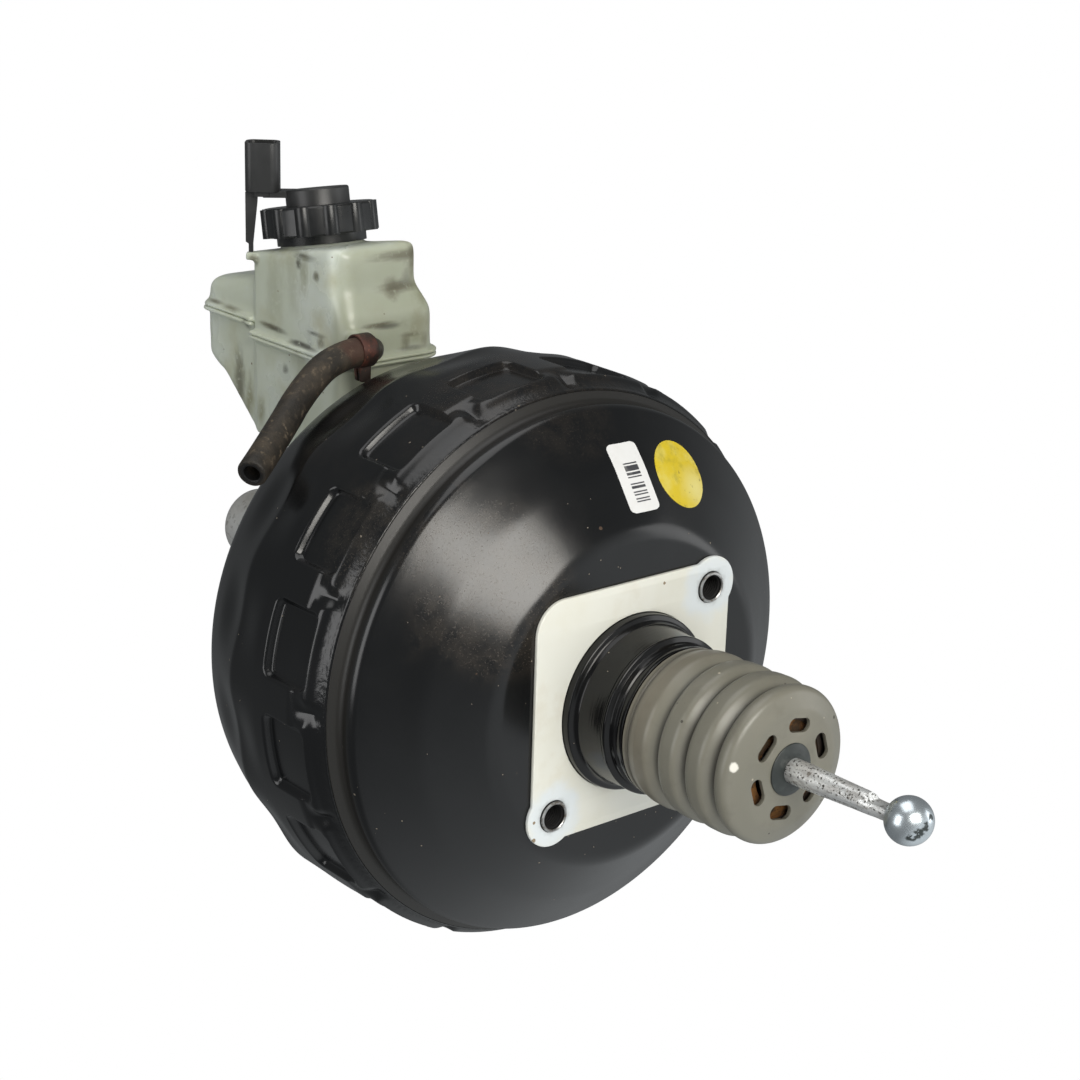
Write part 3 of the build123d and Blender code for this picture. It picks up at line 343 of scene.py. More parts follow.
# Vacuum shells. Two deep-drawn steel pressings, 1.6 mm thick, painted black: the rear one carries the
# bulkhead seat, and the front one is crimped over it and stiffened by sixteen pockets pressed into its band.
sheet = 1.6
shell_seat_y = 2.0
rear_path = [(31.5, -25.0), (31.5, shell_seat_y), (75.0, shell_seat_y), (99.5, 19.5), (122.8, 39.4),
             (120.9, 46.6), (126.1, 49.9), (126.1, 58.0)]
rear_rounds = [0, 3.0, 14.0, 60.0, 9.0, 4.0, 0.6, 0]
front_path = [(127.0, 51.3), (127.4, 57.5), (132.8, 68.0), (133.2, 113.0), (121.0, 148.5), (101.5, 168.0),
              (52.0, 172.0), (19.6, 172.0)]
skirt_lip = [(125.5, 51.0), (125.75, 50.45), (126.3, 50.2), (126.8, 50.55)]
front_rounds = [0, 6.0, 8.0, 8.0, 16.0, 12.0, 10.0, 0]
pocket_count = 16
pocket_phase = 144.0
pocket_sizes = {
    "Count": pocket_count, "Phase": math.radians(pocket_phase), "Band Radius": 0.1332, "Floor Radius": 0.1298,
    "Rim Radius": 0.1319, "Pocket Half Width": 0.0170, "Pocket Start": 0.0605, "Pocket End": 0.0875,
    "Rim Half Width": 0.0232, "Rim Start": 0.0565, "Rim End": 0.0900, "Corner": 0.0036, "Soft": 0.0013,
    "Rim Soft": 0.0046, "Wave": 0.0012}
socket_offset = 43.2
socket_hole = 8.35


def rounded(points, radii, step=9.0, closed=False):
    """A polyline with its corners rounded. Step is the turn in degrees from point to point of a corner."""
    points = [np.array(p, float) for p in points]
    made = []
    for i, here in enumerate(points):
        radius = radii[i] if isinstance(radii, (list, tuple)) else radii
        ends = not closed and i in (0, len(points) - 1)
        if radius <= 0 or ends:
            made.append(here)
            continue
        to_last = points[i - 1] - here
        to_next = points[(i + 1) % len(points)] - here
        a, b = np.linalg.norm(to_last), np.linalg.norm(to_next)
        to_last, to_next = to_last / a, to_next / b
        turn = math.pi - math.acos(max(-1.0, min(1.0, float(to_last @ to_next))))
        if turn < 1e-3:
            made.append(here)
            continue
        reach = min(radius * math.tan(turn / 2), 0.49 * a, 0.49 * b)
        radius = reach / math.tan(turn / 2)
        middle = here + (to_last + to_next) / np.linalg.norm(to_last + to_next) * math.hypot(reach, radius)
        start, stop = here + to_last * reach - middle, here + to_next * reach - middle
        first = math.atan2(start[1], start[0])
        sweep = (math.atan2(stop[1], stop[0]) - first + math.pi) % (2 * math.pi) - math.pi
        count = max(2, int(math.degrees(abs(sweep)) / step) + 1)
        for k in range(count + 1):
            angle = first + sweep * k / count
            made.append(middle + radius * np.array([math.cos(angle), math.sin(angle)]))
    return np.array(made)


def inner_line(path, rounds):
    """The pressed sheet's inner line: the outer one set in by the thickness, with its rounds."""
    line, radii = [], []
    for i, here in enumerate(path):
        a, c = path[max(i - 1, 0)], path[min(i + 1, len(path) - 1)]
        d1 = np.subtract(here, a) if i else np.subtract(c, here)
        d2 = np.subtract(c, here) if i < len(path) - 1 else d1
        n1 = np.array([-d1[1], d1[0]]) / np.linalg.norm(d1)
        n2 = np.array([-d2[1], d2[0]]) / np.linalg.norm(d2)
        line.append(np.array(here) + sheet * (n1 + n2) / (1 + float(n1 @ n2)))
        turn = d1[0] * d2[1] - d1[1] * d2[0]
        radii.append(0 if rounds[i] == 0 else max(rounds[i] - sheet if turn > 0 else rounds[i] + sheet, 0.2))
    return line, radii


def spaced(line, pitch):
    """The same line with points no further apart than pitch, a number or a function of the place."""
    made = [line[0]]
    for a, b in zip(line[:-1], line[1:]):
        gap = np.linalg.norm(b - a)
        want = pitch((a + b) / 2) if callable(pitch) else pitch
        count = max(1, math.ceil(gap / want))
        made += [a + (b - a) * k / count for k in range(1, count + 1)]
    return np.array(made)


def spun(name, loop, angles, sharp=35.0):
    """Turn a closed loop of (radius, y) about the booster axis. Angles run from +X towards +Z."""
    angles = np.asarray(angles, float)
    points = np.stack([np.outer(loop[:, 0], np.cos(angles)), np.repeat(loop[:, 1][:, None], len(angles), 1),
                       np.outer(loop[:, 0], np.sin(angles))], -1).reshape(-1, 3)
    return solid(name, points, wrap_faces(len(loop), len(angles), True), sharp)


inner, inner_rounds = inner_line(rear_path, rear_rounds)
outer_rear = spaced(rounded(rear_path, rear_rounds, 5.0), 4.0)
loop = np.concatenate([outer_rear, spaced(rounded(inner, inner_rounds, 12.0), 12.0)[::-1]])
rear = spun("rear_shell_skin", loop, even(360))
drills = []
for place in (socket_offset * MM, -socket_offset * MM):
    bpy.ops.mesh.primitive_cylinder_add(vertices=64, radius=socket_hole * MM, depth=24 * MM,
                                        rotation=(math.pi / 2, 0, 0), location=(place, 0, place))
    drills.append(bpy.context.object)


def keep_baked(made):
    fresh = baked(made)
    made.modifiers.clear()
    made.data = fresh
    return made


def cut_away(made, tools):
    """Cut the tools out of a piece and drop them."""
    for tool in tools:
        cut = made.modifiers.new("cut", "BOOLEAN")
        cut.operation = "DIFFERENCE"
        cut.solver = "EXACT"
        cut.object = tool
        keep_baked(made)
        bpy.data.objects.remove(tool)
    return made


cut_away(rear, drills)

pitch = 360.0 / pocket_count
half = np.concatenate([np.linspace(0, 5.4, 5), np.linspace(6.3, 8.3, 9), np.linspace(8.6, 10.4, 8), [10.9]])
across = np.concatenate([-half[:0:-1], half, [pitch / 2]])
front_angles = np.radians(np.concatenate([pocket_phase + i * pitch + across for i in range(pocket_count)]))


def press_pitch(place):
    y = place[1]
    if place[0] < 120:
        return 7.0
    return 0.75 if 55.5 < y < 62.5 or 85.5 < y < 91.0 else 3.0


inner, inner_rounds = inner_line(front_path, front_rounds)
outer_front = np.concatenate([skirt_lip, spaced(rounded(front_path, front_rounds, 9.0), press_pitch)])
inner_front = spaced(rounded(inner, inner_rounds, 20.0), lambda p: 4.0 if p[0] > 120 and p[1] < 95 else 14.0)
front = spun("front_shell_skin", np.concatenate([outer_front, inner_front[::-1]]), front_angles, 50)
depth = front.data.attributes.new("depth", "FLOAT", "POINT")
count_out = len(outer_front) * len(front_angles)
count_all = len(front.data.vertices)
depth.data.foreach_set("value", [0.0 if i < count_out else sheet * MM for i in range(count_all)])


def coat(tree, shaped, material, out):
    """The end of a Geometry Nodes tree: real geometry with its material."""
    real = node(tree, "GeometryNodeRealizeInstances", {"Geometry": shaped.outputs[0]}).outputs[0]
    coated = node(tree, "GeometryNodeSetMaterial", {"Geometry": real, "Material": material})
    tree.links.new(coated.outputs[0], out)


def press_tree():
    """Geometry Nodes: presses evenly spaced pockets, each with a raised rim, into a band round the Y axis."""
    tree, sizes, out = group_tree("pressed_pockets", "GeometryNodeTree", {
        "Geometry": "Geometry", **pocket_sizes, "Material": "Material"}, "Geometry", "Geometry")
    wave_y, wave_reach, wave_full = 0.116, 0.022, 0.004
    band_from_y, band_from_radius = 0.0515, 0.118

    def m(operation, a, b=0.0, c=0.0):
        return reckon(tree, operation, a, b, c)

    position = node(tree, "GeometryNodeInputPosition").outputs[0]
    place = node(tree, "ShaderNodeSeparateXYZ", {0: position}).outputs
    thick = node(tree, "GeometryNodeInputNamedAttribute", {"Name": "depth"}, data_type="FLOAT").outputs[0]
    radius = m("SQRT", m("MULTIPLY_ADD", place["X"], place["X"], m("MULTIPLY", place["Z"], place["Z"])))
    angle = m("ARCTAN2", place["Z"], place["X"])
    step = m("DIVIDE", 2 * math.pi, sizes["Count"])
    turned = m("SUBTRACT", angle, sizes["Phase"])
    local = m("MULTIPLY_ADD", m("ROUND", m("DIVIDE", turned, step)), m("MULTIPLY", step, -1.0), turned)
    arc = m("ABSOLUTE", m("MULTIPLY", local, sizes["Band Radius"]))

    def cover(half_width, start, end, soft):
        mid = m("MULTIPLY", m("ADD", start, end), 0.5)
        reach = m("MULTIPLY", m("SUBTRACT", end, start), 0.5)
        dx = m("ADD", m("SUBTRACT", arc, half_width), sizes["Corner"])
        dy = m("ADD", m("SUBTRACT", m("ABSOLUTE", m("SUBTRACT", place["Y"], mid)), reach), sizes["Corner"])
        px, py = m("MAXIMUM", dx), m("MAXIMUM", dy)
        out_part = m("SQRT", m("MULTIPLY_ADD", px, px, m("MULTIPLY", py, py)))
        in_part = m("MINIMUM", m("MAXIMUM", dx, dy))
        far = m("SUBTRACT", m("ADD", out_part, in_part), sizes["Corner"])
        return clamp_map(tree, far, soft, m("MULTIPLY", soft, -1.0))

    skin = m("ADD", radius, thick)
    lift = m("MAXIMUM", m("SUBTRACT", sizes["Rim Radius"], skin))
    raised = m("MULTIPLY_ADD", lift,
               cover(sizes["Rim Half Width"], sizes["Rim Start"], sizes["Rim End"], sizes["Rim Soft"]), skin)
    pressed = m("MULTIPLY_ADD", m("SUBTRACT", sizes["Floor Radius"], raised),
                cover(sizes["Pocket Half Width"], sizes["Pocket Start"], sizes["Pocket End"], sizes["Soft"]),
                raised)
    on_edge = clamp_map(tree, m("ABSOLUTE", m("SUBTRACT", place["Y"], wave_y)), wave_reach, wave_full)
    ripple = m("MULTIPLY", m("ADD", m("COSINE", m("MULTIPLY", turned, sizes["Count"])), 1.0),
               m("MULTIPLY", sizes["Wave"], on_edge))
    target = m("SUBTRACT", m("SUBTRACT", pressed, ripple), thick)
    on_band = m("MULTIPLY", m("GREATER_THAN", skin, band_from_radius),
                m("GREATER_THAN", place["Y"], band_from_y))
    scale = m("MULTIPLY_ADD", m("SUBTRACT", m("DIVIDE", target, radius), 1.0), on_band, 1.0)
    moved = node(tree, "ShaderNodeCombineXYZ", {"X": m("MULTIPLY", place["X"], scale), "Y": place["Y"],
                                                "Z": m("MULTIPLY", place["Z"], scale)}).outputs[0]
    shaped = node(tree, "GeometryNodeSetPosition", {"Geometry": sizes["Geometry"], "Position": moved})
    coat(tree, shaped, sizes["Material"], out)
    return tree


def grown(made, tree, values):
    """Run a Geometry Nodes tree on a piece with its named values, and keep the plain mesh."""
    step = made.modifiers.new("made", "NODES")
    step.node_group = tree
    for item in tree.interface.items_tree:
        if item.item_type == "SOCKET" and item.in_out == "INPUT" and item.name in values:
            step[item.identifier] = values[item.name]
    return keep_baked(made)


# Scattered round specks of mixed size. Share is how many cells hold one, Size their largest radius in cells.
specks, given, mask_out = group_tree("specks", "ShaderNodeTree", {
    "Vector": "Vector", "Scale": 300.0, "Share": 0.3, "Size": 0.3}, "Mask", "Float")
cells = node(specks, "ShaderNodeTexVoronoi", {"Vector": given["Vector"], "Scale": given["Scale"]}).outputs
lot = node(specks, "ShaderNodeSeparateColor", {"Color": cells["Color"]}).outputs
near = reckon(specks, "LESS_THAN", cells["Distance"], reckon(specks, "MULTIPLY", lot["Green"], given["Size"]))
held = reckon(specks, "LESS_THAN", lot["Red"], given["Share"])
specks.links.new(reckon(specks, "MULTIPLY", near, held), mask_out)


def shell_paint(name, dust_and_highlight_patches):
    """Semi-gloss black paint with dust where it faces up, rust specks, fine dirt, and pale patches laid where
    listed.
    """
    paint = Finish(name, (0.0036, 0.0039, 0.0043), 0.20)
    paint.clouds(16.0, 0.40, 0.75, (0.0046, 0.0049, 0.0053), 0.27, detail=3.0)
    for centre, radius, colour, strength in dust_and_highlight_patches:
        broad = paint.group(stain, Centre=centre, Radius=radius, Ragged=1.1, Scale=28.0)
        patchy = paint.mottle(110.0, 0.36, 0.66, 8.0)
        fine = paint.mottle(1100.0, 0.56, 0.66, 4.0)
        paint.lay(paint.math("MULTIPLY", broad, patchy), colour, 0.34, strength * 0.30)
        paint.lay(paint.math("MULTIPLY", broad, fine), colour, 0.5, strength * 0.45)
    paint.dust(24.0, 0.45, 0.75, (0.020, 0.017, 0.014), 0.36, 0.30)
    paint.flecks(300.0, 0.005, 0.25, (0.050, 0.028, 0.015), 0.8)
    paint.flecks(800.0, 0.004, 0.40, (0.13, 0.11, 0.085), 0.8)
    paint.grain(42.0, 0.08, 0.0012, 2.0)
    paint.grain(900.0, 0.04, 0.0002, 2.0)
    return paint


paint = shell_paint("rear_shell_paint", [
    # Dust and a painted highlight: the first patch, pale, on the dome's upper left where it mirrors the key
    # light.
    ((-0.070, 0.008, 0.060), 0.046, (0.060, 0.047, 0.034), 0.75),
    ((-0.012, 0.043, 0.122), 0.032, (0.040, 0.031, 0.022), 0.5),
    ((-0.085, 0.045, 0.090), 0.035, (0.045, 0.036, 0.027), 0.6),
])
valley = paint.between(paint.axis("Y"), 0.0395, 0.0430)
paint.lay(valley, (0.0095, 0.0085, 0.0068), 0.48, 0.85)
rear_finish = paint.done()
dress(rear, rear_finish, "casing", "black_paint", "rear_shell")

paint = shell_paint("front_shell_paint", [
    ((-0.010, 0.060, 0.130), 0.055, (0.045, 0.034, 0.024), 0.6),
    ((-0.100, 0.052, 0.080), 0.036, (0.060, 0.050, 0.038), 0.6),
])
skirt = paint.between(paint.axis("Y"), 0.0570, 0.0535)
paint.bump(paint.math("MULTIPLY", noise(paint.tree, paint.where, 380.0, 3.0), skirt), 0.35, 0.0008)
front_finish = paint.done()
grown(front, press_tree(), {**pocket_sizes, "Material": front_finish})
front.data.shade_smooth()
dress(front, front_finish, "casing", "black_paint", "front_shell")


# Labels on the dome. A bare paper label with a few plain bars and a bare yellow sticker, both thin and
# curved with the sheet they are stuck to.
dome_line = rounded(rear_path, rear_rounds, 5.0)
label_angle = 83.9
label_radius = 95.4
label_turn = 5.0
label_size = (17.4, 31.5)
label_corner = 2.6
dot_angle = 66.4
dot_radius = 98.8
dot_size = 15.6
label_thick = 0.16
bar_pitch, bar_share = 0.62, 0.48
bars_centre, bars_half = (0.6, -2.4), (4.1, 9.4)
label_sunk = 0.3
dome_slope = 0.81


def dome_point(x, z, lift):
    """The point of the rear shell's outside over (x, z), lifted along its normal."""
    r = math.hypot(x, z)
    y = float(np.interp(r, dome_line[:, 0][3:], dome_line[:, 1][3:]))
    slope = float(np.interp(r + 1, dome_line[:, 0][3:], dome_line[:, 1][3:])) - y
    n = np.array([x / r * slope, -1.0, z / r * slope])
    return np.array([x, y, z]) + n / np.linalg.norm(n) * lift


def stuck_patch(name, angle, radius, turn, outline, columns, rows):
    """A thin sheet stuck on the dome. Outline gives half width and height at a share of the height. The UV
    runs over the face in millimetres."""
    a, t = math.radians(angle), math.radians(turn)
    out_r, along_t = np.array([math.cos(a), math.sin(a)]), np.array([math.sin(a), -math.cos(a)])
    points, uvs, faces = [], [], []
    for layer in (0, 1):
        for j in range(rows + 1):
            v = 2 * j / rows - 1
            half_width, height = outline(v)
            for i in range(columns + 1):
                u = (2 * i / columns - 1) * half_width
                du, dv = u * math.cos(t) - height * math.sin(t), u * math.sin(t) + height * math.cos(t)
                x, z = out_r * (radius + dv * dome_slope) + along_t * du
                points.append(dome_point(x, z, label_thick if layer == 0 else -label_sunk))
                uvs.append((u, height))
    row, layer_size = columns + 1, (columns + 1) * (rows + 1)
    for j in range(rows):
        for i in range(columns):
            q = j * row + i
            faces.append((q, q + 1, q + row + 1, q + row))
            faces.append((layer_size + q, layer_size + q + row, layer_size + q + row + 1, layer_size + q + 1))
    rim = (list(range(row)) + [j * row + columns for j in range(1, rows + 1)]
           + [rows * row + i for i in range(columns - 1, -1, -1)] + [j * row for j in range(rows - 1, 0, -1)])
    for a0, b0 in zip(rim, rim[1:] + rim[:1]):
        faces.append((a0, b0, b0 + layer_size, a0 + layer_size))
    data = bpy.data.meshes.new(name)
    data.from_pydata((np.array(points) * MM).tolist(), [], faces)
    layer = data.uv_layers.new(name="face_mm")
    for loop_item in data.loops:
        layer.data[loop_item.index].uv = uvs[loop_item.vertex_index]
    reworked(data, face_outwards)
    return shaded(name, data, 40)


def card_outline(v):
    half_width, half_height, corner = label_size[0] / 2, label_size[1] / 2, label_corner
    height = v * half_height
    inside_corner = max(0.0, abs(height) - (half_height - corner))
    return half_width - corner + math.sqrt(max(corner ** 2 - inside_corner ** 2, 0.01)), height


def disc_outline(v):
    height = math.sin(v * math.pi / 2) * dot_size
    return math.sqrt(max(dot_size ** 2 - height ** 2, 0.01)), height


label = stuck_patch("paper_label", label_angle, label_radius, label_turn, card_outline, 16, 40)
paint = Finish("label_paper", (0.62, 0.62, 0.61), 0.42)
printed = node(paint.tree, "ShaderNodeUVMap", uv_map="face_mm").outputs[0]
face_at = node(paint.tree, "ShaderNodeSeparateXYZ", {0: printed}).outputs
row_number = paint.math("FLOOR", paint.math("DIVIDE", face_at["Y"], bar_pitch))
chance = node(paint.tree, "ShaderNodeTexWhiteNoise", {"W": row_number}, noise_dimensions="1D")
inked = paint.math("GREATER_THAN", chance.outputs["Value"], 1 - bar_share)
wide, tall = (
    paint.math("LESS_THAN", paint.math("ABSOLUTE", paint.math("SUBTRACT", face_at[axis], centre)), reach)
    for axis, centre, reach in zip("XY", bars_centre, bars_half))
paint.lay(paint.math("MULTIPLY", inked, paint.math("MULTIPLY", wide, tall)), (0.035, 0.035, 0.04), 0.5)
paint.clouds(90.0, 0.5, 0.8, (0.54, 0.53, 0.50), 0.5, 0.5)
paint.flecks(500.0, 0.02, 0.5, (0.30, 0.26, 0.20), 0.7)
dress(label, paint.done(), "casing", "gasket_card")

dot = stuck_patch("yellow_sticker", dot_angle, dot_radius, 0.0, disc_outline, 24, 28)
paint = Finish("yellow_paper", (0.53, 0.40, 0.012), 0.34)
paint.clouds(90.0, 0.42, 0.66, (0.56, 0.475, 0.10), 0.3, 0.8, detail=6.0)
paint.lay(paint.group(stain, Centre=(0.047, 0.0188, 0.082), Radius=0.013, Ragged=1.0, Scale=90.0, Core=0.1),
          (0.60, 0.54, 0.21), 0.35, 0.8)
paint.clouds(60.0, 0.56, 0.70, (0.29, 0.24, 0.020), 0.45, 0.75, detail=8.0)
paint.clouds(320.0, 0.60, 0.68, (0.16, 0.12, 0.03), 0.6, 0.7, detail=6.0)
paint.grain(220.0, 0.25, 0.0004, 3.0)
dress(dot, paint.done(), "casing", "gasket_card")


# Bulkhead gasket. Off-white fibre sheet, punched out, held under the sleeve's flange; two corners have round
# ears for the bolt sockets.
gasket_half = 54.8
gasket_corner = 15.0
gasket_thick = 2.0
gasket_neck_hole, gasket_bolt_hole = 40.0, 7.2
ear_offset, ear_radius = 43.7, 13.4


def prism(name, outline, holes, y0, y1, edge):
    """A flat piece with rounded edges, from an outline in X and Z. Holes are (x, z, radius)."""
    curve = bpy.data.curves.new(name, "CURVE")
    curve.dimensions = "2D"
    curve.fill_mode = "BOTH"
    lines = [outline] + [[(x + r * math.cos(a), z + r * math.sin(a)) for a in even(96)] for x, z, r in holes]
    for line in lines:
        part = curve.splines.new("POLY")
        part.points.add(len(line) - 1)
        for point, (x, z) in zip(part.points, line):
            point.co = (x * MM, z * MM, 0.0, 1.0)
        part.use_cyclic_u = True
    curve.extrude = ((y1 - y0) / 2 - edge) * MM
    curve.bevel_depth = edge * MM
    curve.bevel_resolution = 2
    curve.offset = -edge * MM
    flat = link_object(name + "_line", curve)
    data = baked(flat)
    bpy.data.objects.remove(flat)
    data.transform(Matrix(((1, 0, 0, 0), (0, 0, -1, (y0 + y1) / 2 * MM), (0, 1, 0, 0), (0, 0, 0, 1))))
    reworked(data, merge_within(1e-6), face_outwards)
    return shaded(name, data, 35)


def gasket_outline():
    """Square with rounded corners; the corners at +X+Z and -X-Z carry ears round the bolt sockets."""
    made = []
    for quarter, signs in enumerate(((1, 1), (-1, 1), (-1, -1), (1, -1))):
        if signs[0] == signs[1]:
            offset, radius = ear_offset, ear_radius
            start = math.degrees(math.asin((gasket_half - ear_offset) / ear_radius))
            angles = np.linspace(start - 90.0, 180.0 - start, 25)
        else:
            offset, radius = gasket_half - gasket_corner, gasket_corner
            angles = np.linspace(0, 90, 19)
        for a in np.radians(quarter * 90.0 + angles):
            made.append(tuple(np.array(signs) * offset + radius * np.array([math.cos(a), math.sin(a)])))
    return made


gasket_holes = [(0, 0, gasket_neck_hole)]
gasket_holes += [(place, place, gasket_bolt_hole) for place in (socket_offset, -socket_offset)]
gasket = prism("gasket_sheet", gasket_outline(), gasket_holes, 0.0, gasket_thick, 0.45)
paint = Finish("gasket_card", (0.61, 0.61, 0.55), 0.52)
paint.clouds(26.0, 0.42, 0.72, (0.58, 0.57, 0.49), 0.55, 0.8)
for x in (socket_offset, -socket_offset):
    paint.lay(paint.group(stain, Centre=(x * MM, 0.0, x * MM), Radius=0.0185, Ragged=0.7, Scale=120.0),
              (0.56, 0.61, 0.645), 0.4, 0.75)
    paint.lay(paint.group(stain, Centre=(x * MM, 0.0, x * MM), Radius=0.0098, Ragged=0.7, Scale=300.0),
              (0.36, 0.38, 0.38), 0.5, 0.8)
for centre, radius, strength in (((-0.050, 0, 0.006), 0.018, 0.35), ((-0.006, 0, 0.048), 0.012, 0.25),
                                 ((-0.044, 0, -0.024), 0.012, 0.3), ((0.030, 0, -0.052), 0.020, 0.2)):
    darker_patch = paint.group(stain, Centre=centre, Radius=radius, Ragged=1.3, Scale=90.0)
    paint.lay(paint.math("MULTIPLY", darker_patch, paint.mottle(70.0, 0.42, 0.66)),
              (0.50, 0.46, 0.37), 0.6, strength)
paint.flecks(260.0, 0.03, 0.35, (0.22, 0.17, 0.11), 0.7)
paint.grain(1500.0, 0.12, 0.0002, 3.0)
paint.grain(60.0, 0.10, 0.0008, 2.0)
dress(gasket, paint.done(), "casing", "gasket_card", "mounting_gasket")


# Bolt sockets. Two threaded steel bushes swaged into the rear shell, proud of the gasket, for the bolts that
# come through the bulkhead. One bush is turned and set twice.
socket_collar = 7.0
socket_bore = 5.2
socket_depth = 12.0
thread_pitch = 1.25

bush_line = [(socket_collar, 3.6), (socket_collar, -0.5), (6.7, -1.1), (6.1, -1.2), (5.7, -0.9)]
for i in range(int((socket_depth - 3.0) / thread_pitch)):
    y = 0.4 + i * thread_pitch
    bush_line += [(socket_bore + 0.7, y), (socket_bore, y + thread_pitch * 0.4),
                  (socket_bore, y + thread_pitch * 0.6)]
bush_line += [(socket_bore, socket_depth - 1.5), (0.02, socket_depth - 1.5), (0.02, socket_depth),
              (socket_collar, socket_depth), (socket_collar, 6.3), (9.0, 6.2), (9.0, 3.6)]
bush = spun("bolt_socket", np.array(bush_line), even(64), 30)


def place_tree():
    """Geometry Nodes: sets a part at evenly turned places on a circle round the Y axis."""
    tree, sizes, out = group_tree("set_on_circle", "GeometryNodeTree", {
        "Geometry": "Geometry", "Count": 2, "Radius": 0.06, "Phase": 0.0, "Material": "Material"},
        "Geometry", "Geometry")
    spots = node(tree, "GeometryNodeMeshLine", {"Count": sizes["Count"], "Offset": (0.0, 0.0, 0.0)},
                 mode="OFFSET", count_mode="TOTAL")
    number = node(tree, "GeometryNodeInputIndex").outputs[0]
    share = reckon(tree, "DIVIDE", number, sizes["Count"])
    angle = reckon(tree, "MULTIPLY_ADD", share, 2 * math.pi, sizes["Phase"])

    def along(operation):
        return reckon(tree, "MULTIPLY", reckon(tree, operation, angle), sizes["Radius"])

    spot = node(tree, "ShaderNodeCombineXYZ", {"X": along("COSINE"), "Z": along("SINE")}).outputs[0]
    set_out = node(tree, "GeometryNodeSetPosition", {"Geometry": spots.outputs[0], "Position": spot})
    spin = node(tree, "ShaderNodeCombineXYZ", {"Y": reckon(tree, "MULTIPLY", angle, -1.0)}).outputs[0]
    copies = node(tree, "GeometryNodeInstanceOnPoints", {
        "Points": set_out.outputs[0], "Instance": sizes["Geometry"], "Rotation": spin})
    coat(tree, copies, sizes["Material"], out)
    return tree


set_on_circle = place_tree()
paint = Finish("socket_steel", (0.42, 0.42, 0.41), 0.34, Metallic=1.0)
# Painted shade: from just in front of the gasket's face inwards, bore and all, the steel is laid near black
# and not metallic.
deep = paint.between(paint.axis("Y"), -0.0010, -0.0002)
paint.clouds(420.0, 0.46, 0.62, (0.16, 0.13, 0.10), 0.6, 0.8)
paint.lay(deep, (0.0022, 0.002, 0.002), 0.8)
paint.tree.links.new(paint.math("SUBTRACT", 1.0, deep), paint.shader.inputs["Metallic"])
socket_finish = paint.done()
grown(bush, set_on_circle, {"Count": 2, "Radius": math.hypot(socket_offset, socket_offset) * MM,
                            "Phase": math.radians(45.0), "Material": socket_finish})
dress(bush, socket_finish, "casing", "bare_steel", "mounting_sockets")


# Neck sleeve. Glossy black steel cup pressed over the shell's neck; its flange clamps the gasket, and the
# dust boot sits on its turned nose. The seal and guide ring of the valve body are inside the neck.
def chamfered(points, edge, step=30.0, radii=None):
    """Close a loop and round its corners by the same small edge, or by the radius given for its number."""
    return rounded(points, [(radii or {}).get(i, edge) for i in range(len(points))], step, True)


sleeve_line = [
    (31.6, -1.8), (35.4, 2.0), (39.8, 2.0), (39.8, -3.6), (37.3, -4.2), (36.3, -6.2), (35.0, -18.8),
    (35.5, -20.0), (35.5, -21.6), (33.2, -22.4), (33.2, -25.0), (32.4, -25.6), (32.4, -27.2), (33.2, -27.8),
    (33.2, -29.8), (30.6, -30.2), (30.6, -35.4), (31.3, -36.2), (30.6, -38.0), (28.6, -38.0), (28.6, -25.1),
    (31.6, -25.1)]
sleeve_rounds = {3: 0.9, 4: 1.4, 5: 1.2, 6: 0.8, 7: 0.5, 8: 0.6}
sleeve = spun("neck_sleeve_cup", chamfered(sleeve_line, 0.25, 30.0, sleeve_rounds), even(256), 30)
paint = Finish("sleeve_black", (0.0024, 0.0024, 0.0026), 0.14, Specular_IOR_Level=0.36)
paint.clouds(45.0, 0.45, 0.7, (0.0045, 0.0045, 0.0045), 0.26)
paint.dust(60.0, 0.48, 0.78, (0.055, 0.047, 0.036), 0.5, 0.12)
paint.flecks(600.0, 0.008, 0.3, (0.20, 0.17, 0.13), 0.8)
paint.grain(1.0, 0.12, 0.0003, 3.0, paint.stretched(60.0, 900.0, 60.0))
dress(sleeve, paint.done(), "casing", "black_steel", "neck_sleeve")


def dress_cad(material, *names):
    """A CAD node whose shape is right stays, and gets its material."""
    for name in names:
        cad[name].data.materials.clear()
        cad[name].data.materials.append(material)


paint = Finish("seal_rubber", (0.02, 0.02, 0.02), 0.55)
paint.grain(500.0, 0.15, 0.0002)
black_rubber = paint.done()
dress_cad(black_rubber, "guide_seal", "diaphragm", "reaction_disc", "poppet_valve", "spigot_o_ring",
          "primary_cups", "secondary_cups", "cap_seal", "valve_grommet", "check_valve_disc",
          "reservoir_grommets")
paint = Finish("phenolic", (0.05, 0.036, 0.028), 0.48)
paint.clouds(90.0, 0.4, 0.7, (0.032, 0.026, 0.022), 0.6)
paint.grain(300.0, 0.1, 0.0002)
phenolic = paint.done()
dress_cad(phenolic, "guide_ring", "valve_body")


# Dust boot. Blow-moulded grey-olive rubber bellows on the sleeve's nose; six vents in its end let the servo
# breathe through the filter behind, and a rubber bush carries the input rod.
boot_slope = 0.035
boot_slope_y = -34.1
boot_end_y = -95.0
vent_count, vent_phase = 6, 18.0
vent_circle = 18.6
vent_size = (12.2, 6.2)
boot_outer = [
    (32.0, -30.3), (33.5, -30.9), (33.7, -33.4), (33.1, -34.0), (33.7, -34.6), (34.8, -39.0), (35.0, -45.2),
    (30.9, -51.2), (34.9, -53.6), (35.0, -62.4), (30.0, -66.9), (34.8, -69.4), (34.9, -78.2), (29.4, -83.0),
    (34.0, -85.6), (34.0, -91.4), (25.5, -94.9), (10.0, boot_end_y)]
boot_inner = [
    (10.0, boot_end_y + 1.8), (24.6, -93.2), (31.6, -90.6), (31.6, -86.6), (27.2, -83.0), (32.4, -77.2),
    (32.2, -70.4), (28.0, -66.9), (32.6, -61.6), (32.4, -54.6), (28.9, -51.2), (32.8, -44.6), (32.2, -38.4),
    (30.9, -38.4), (31.7, -36.2), (30.9, -34.4), (30.9, -30.3)]
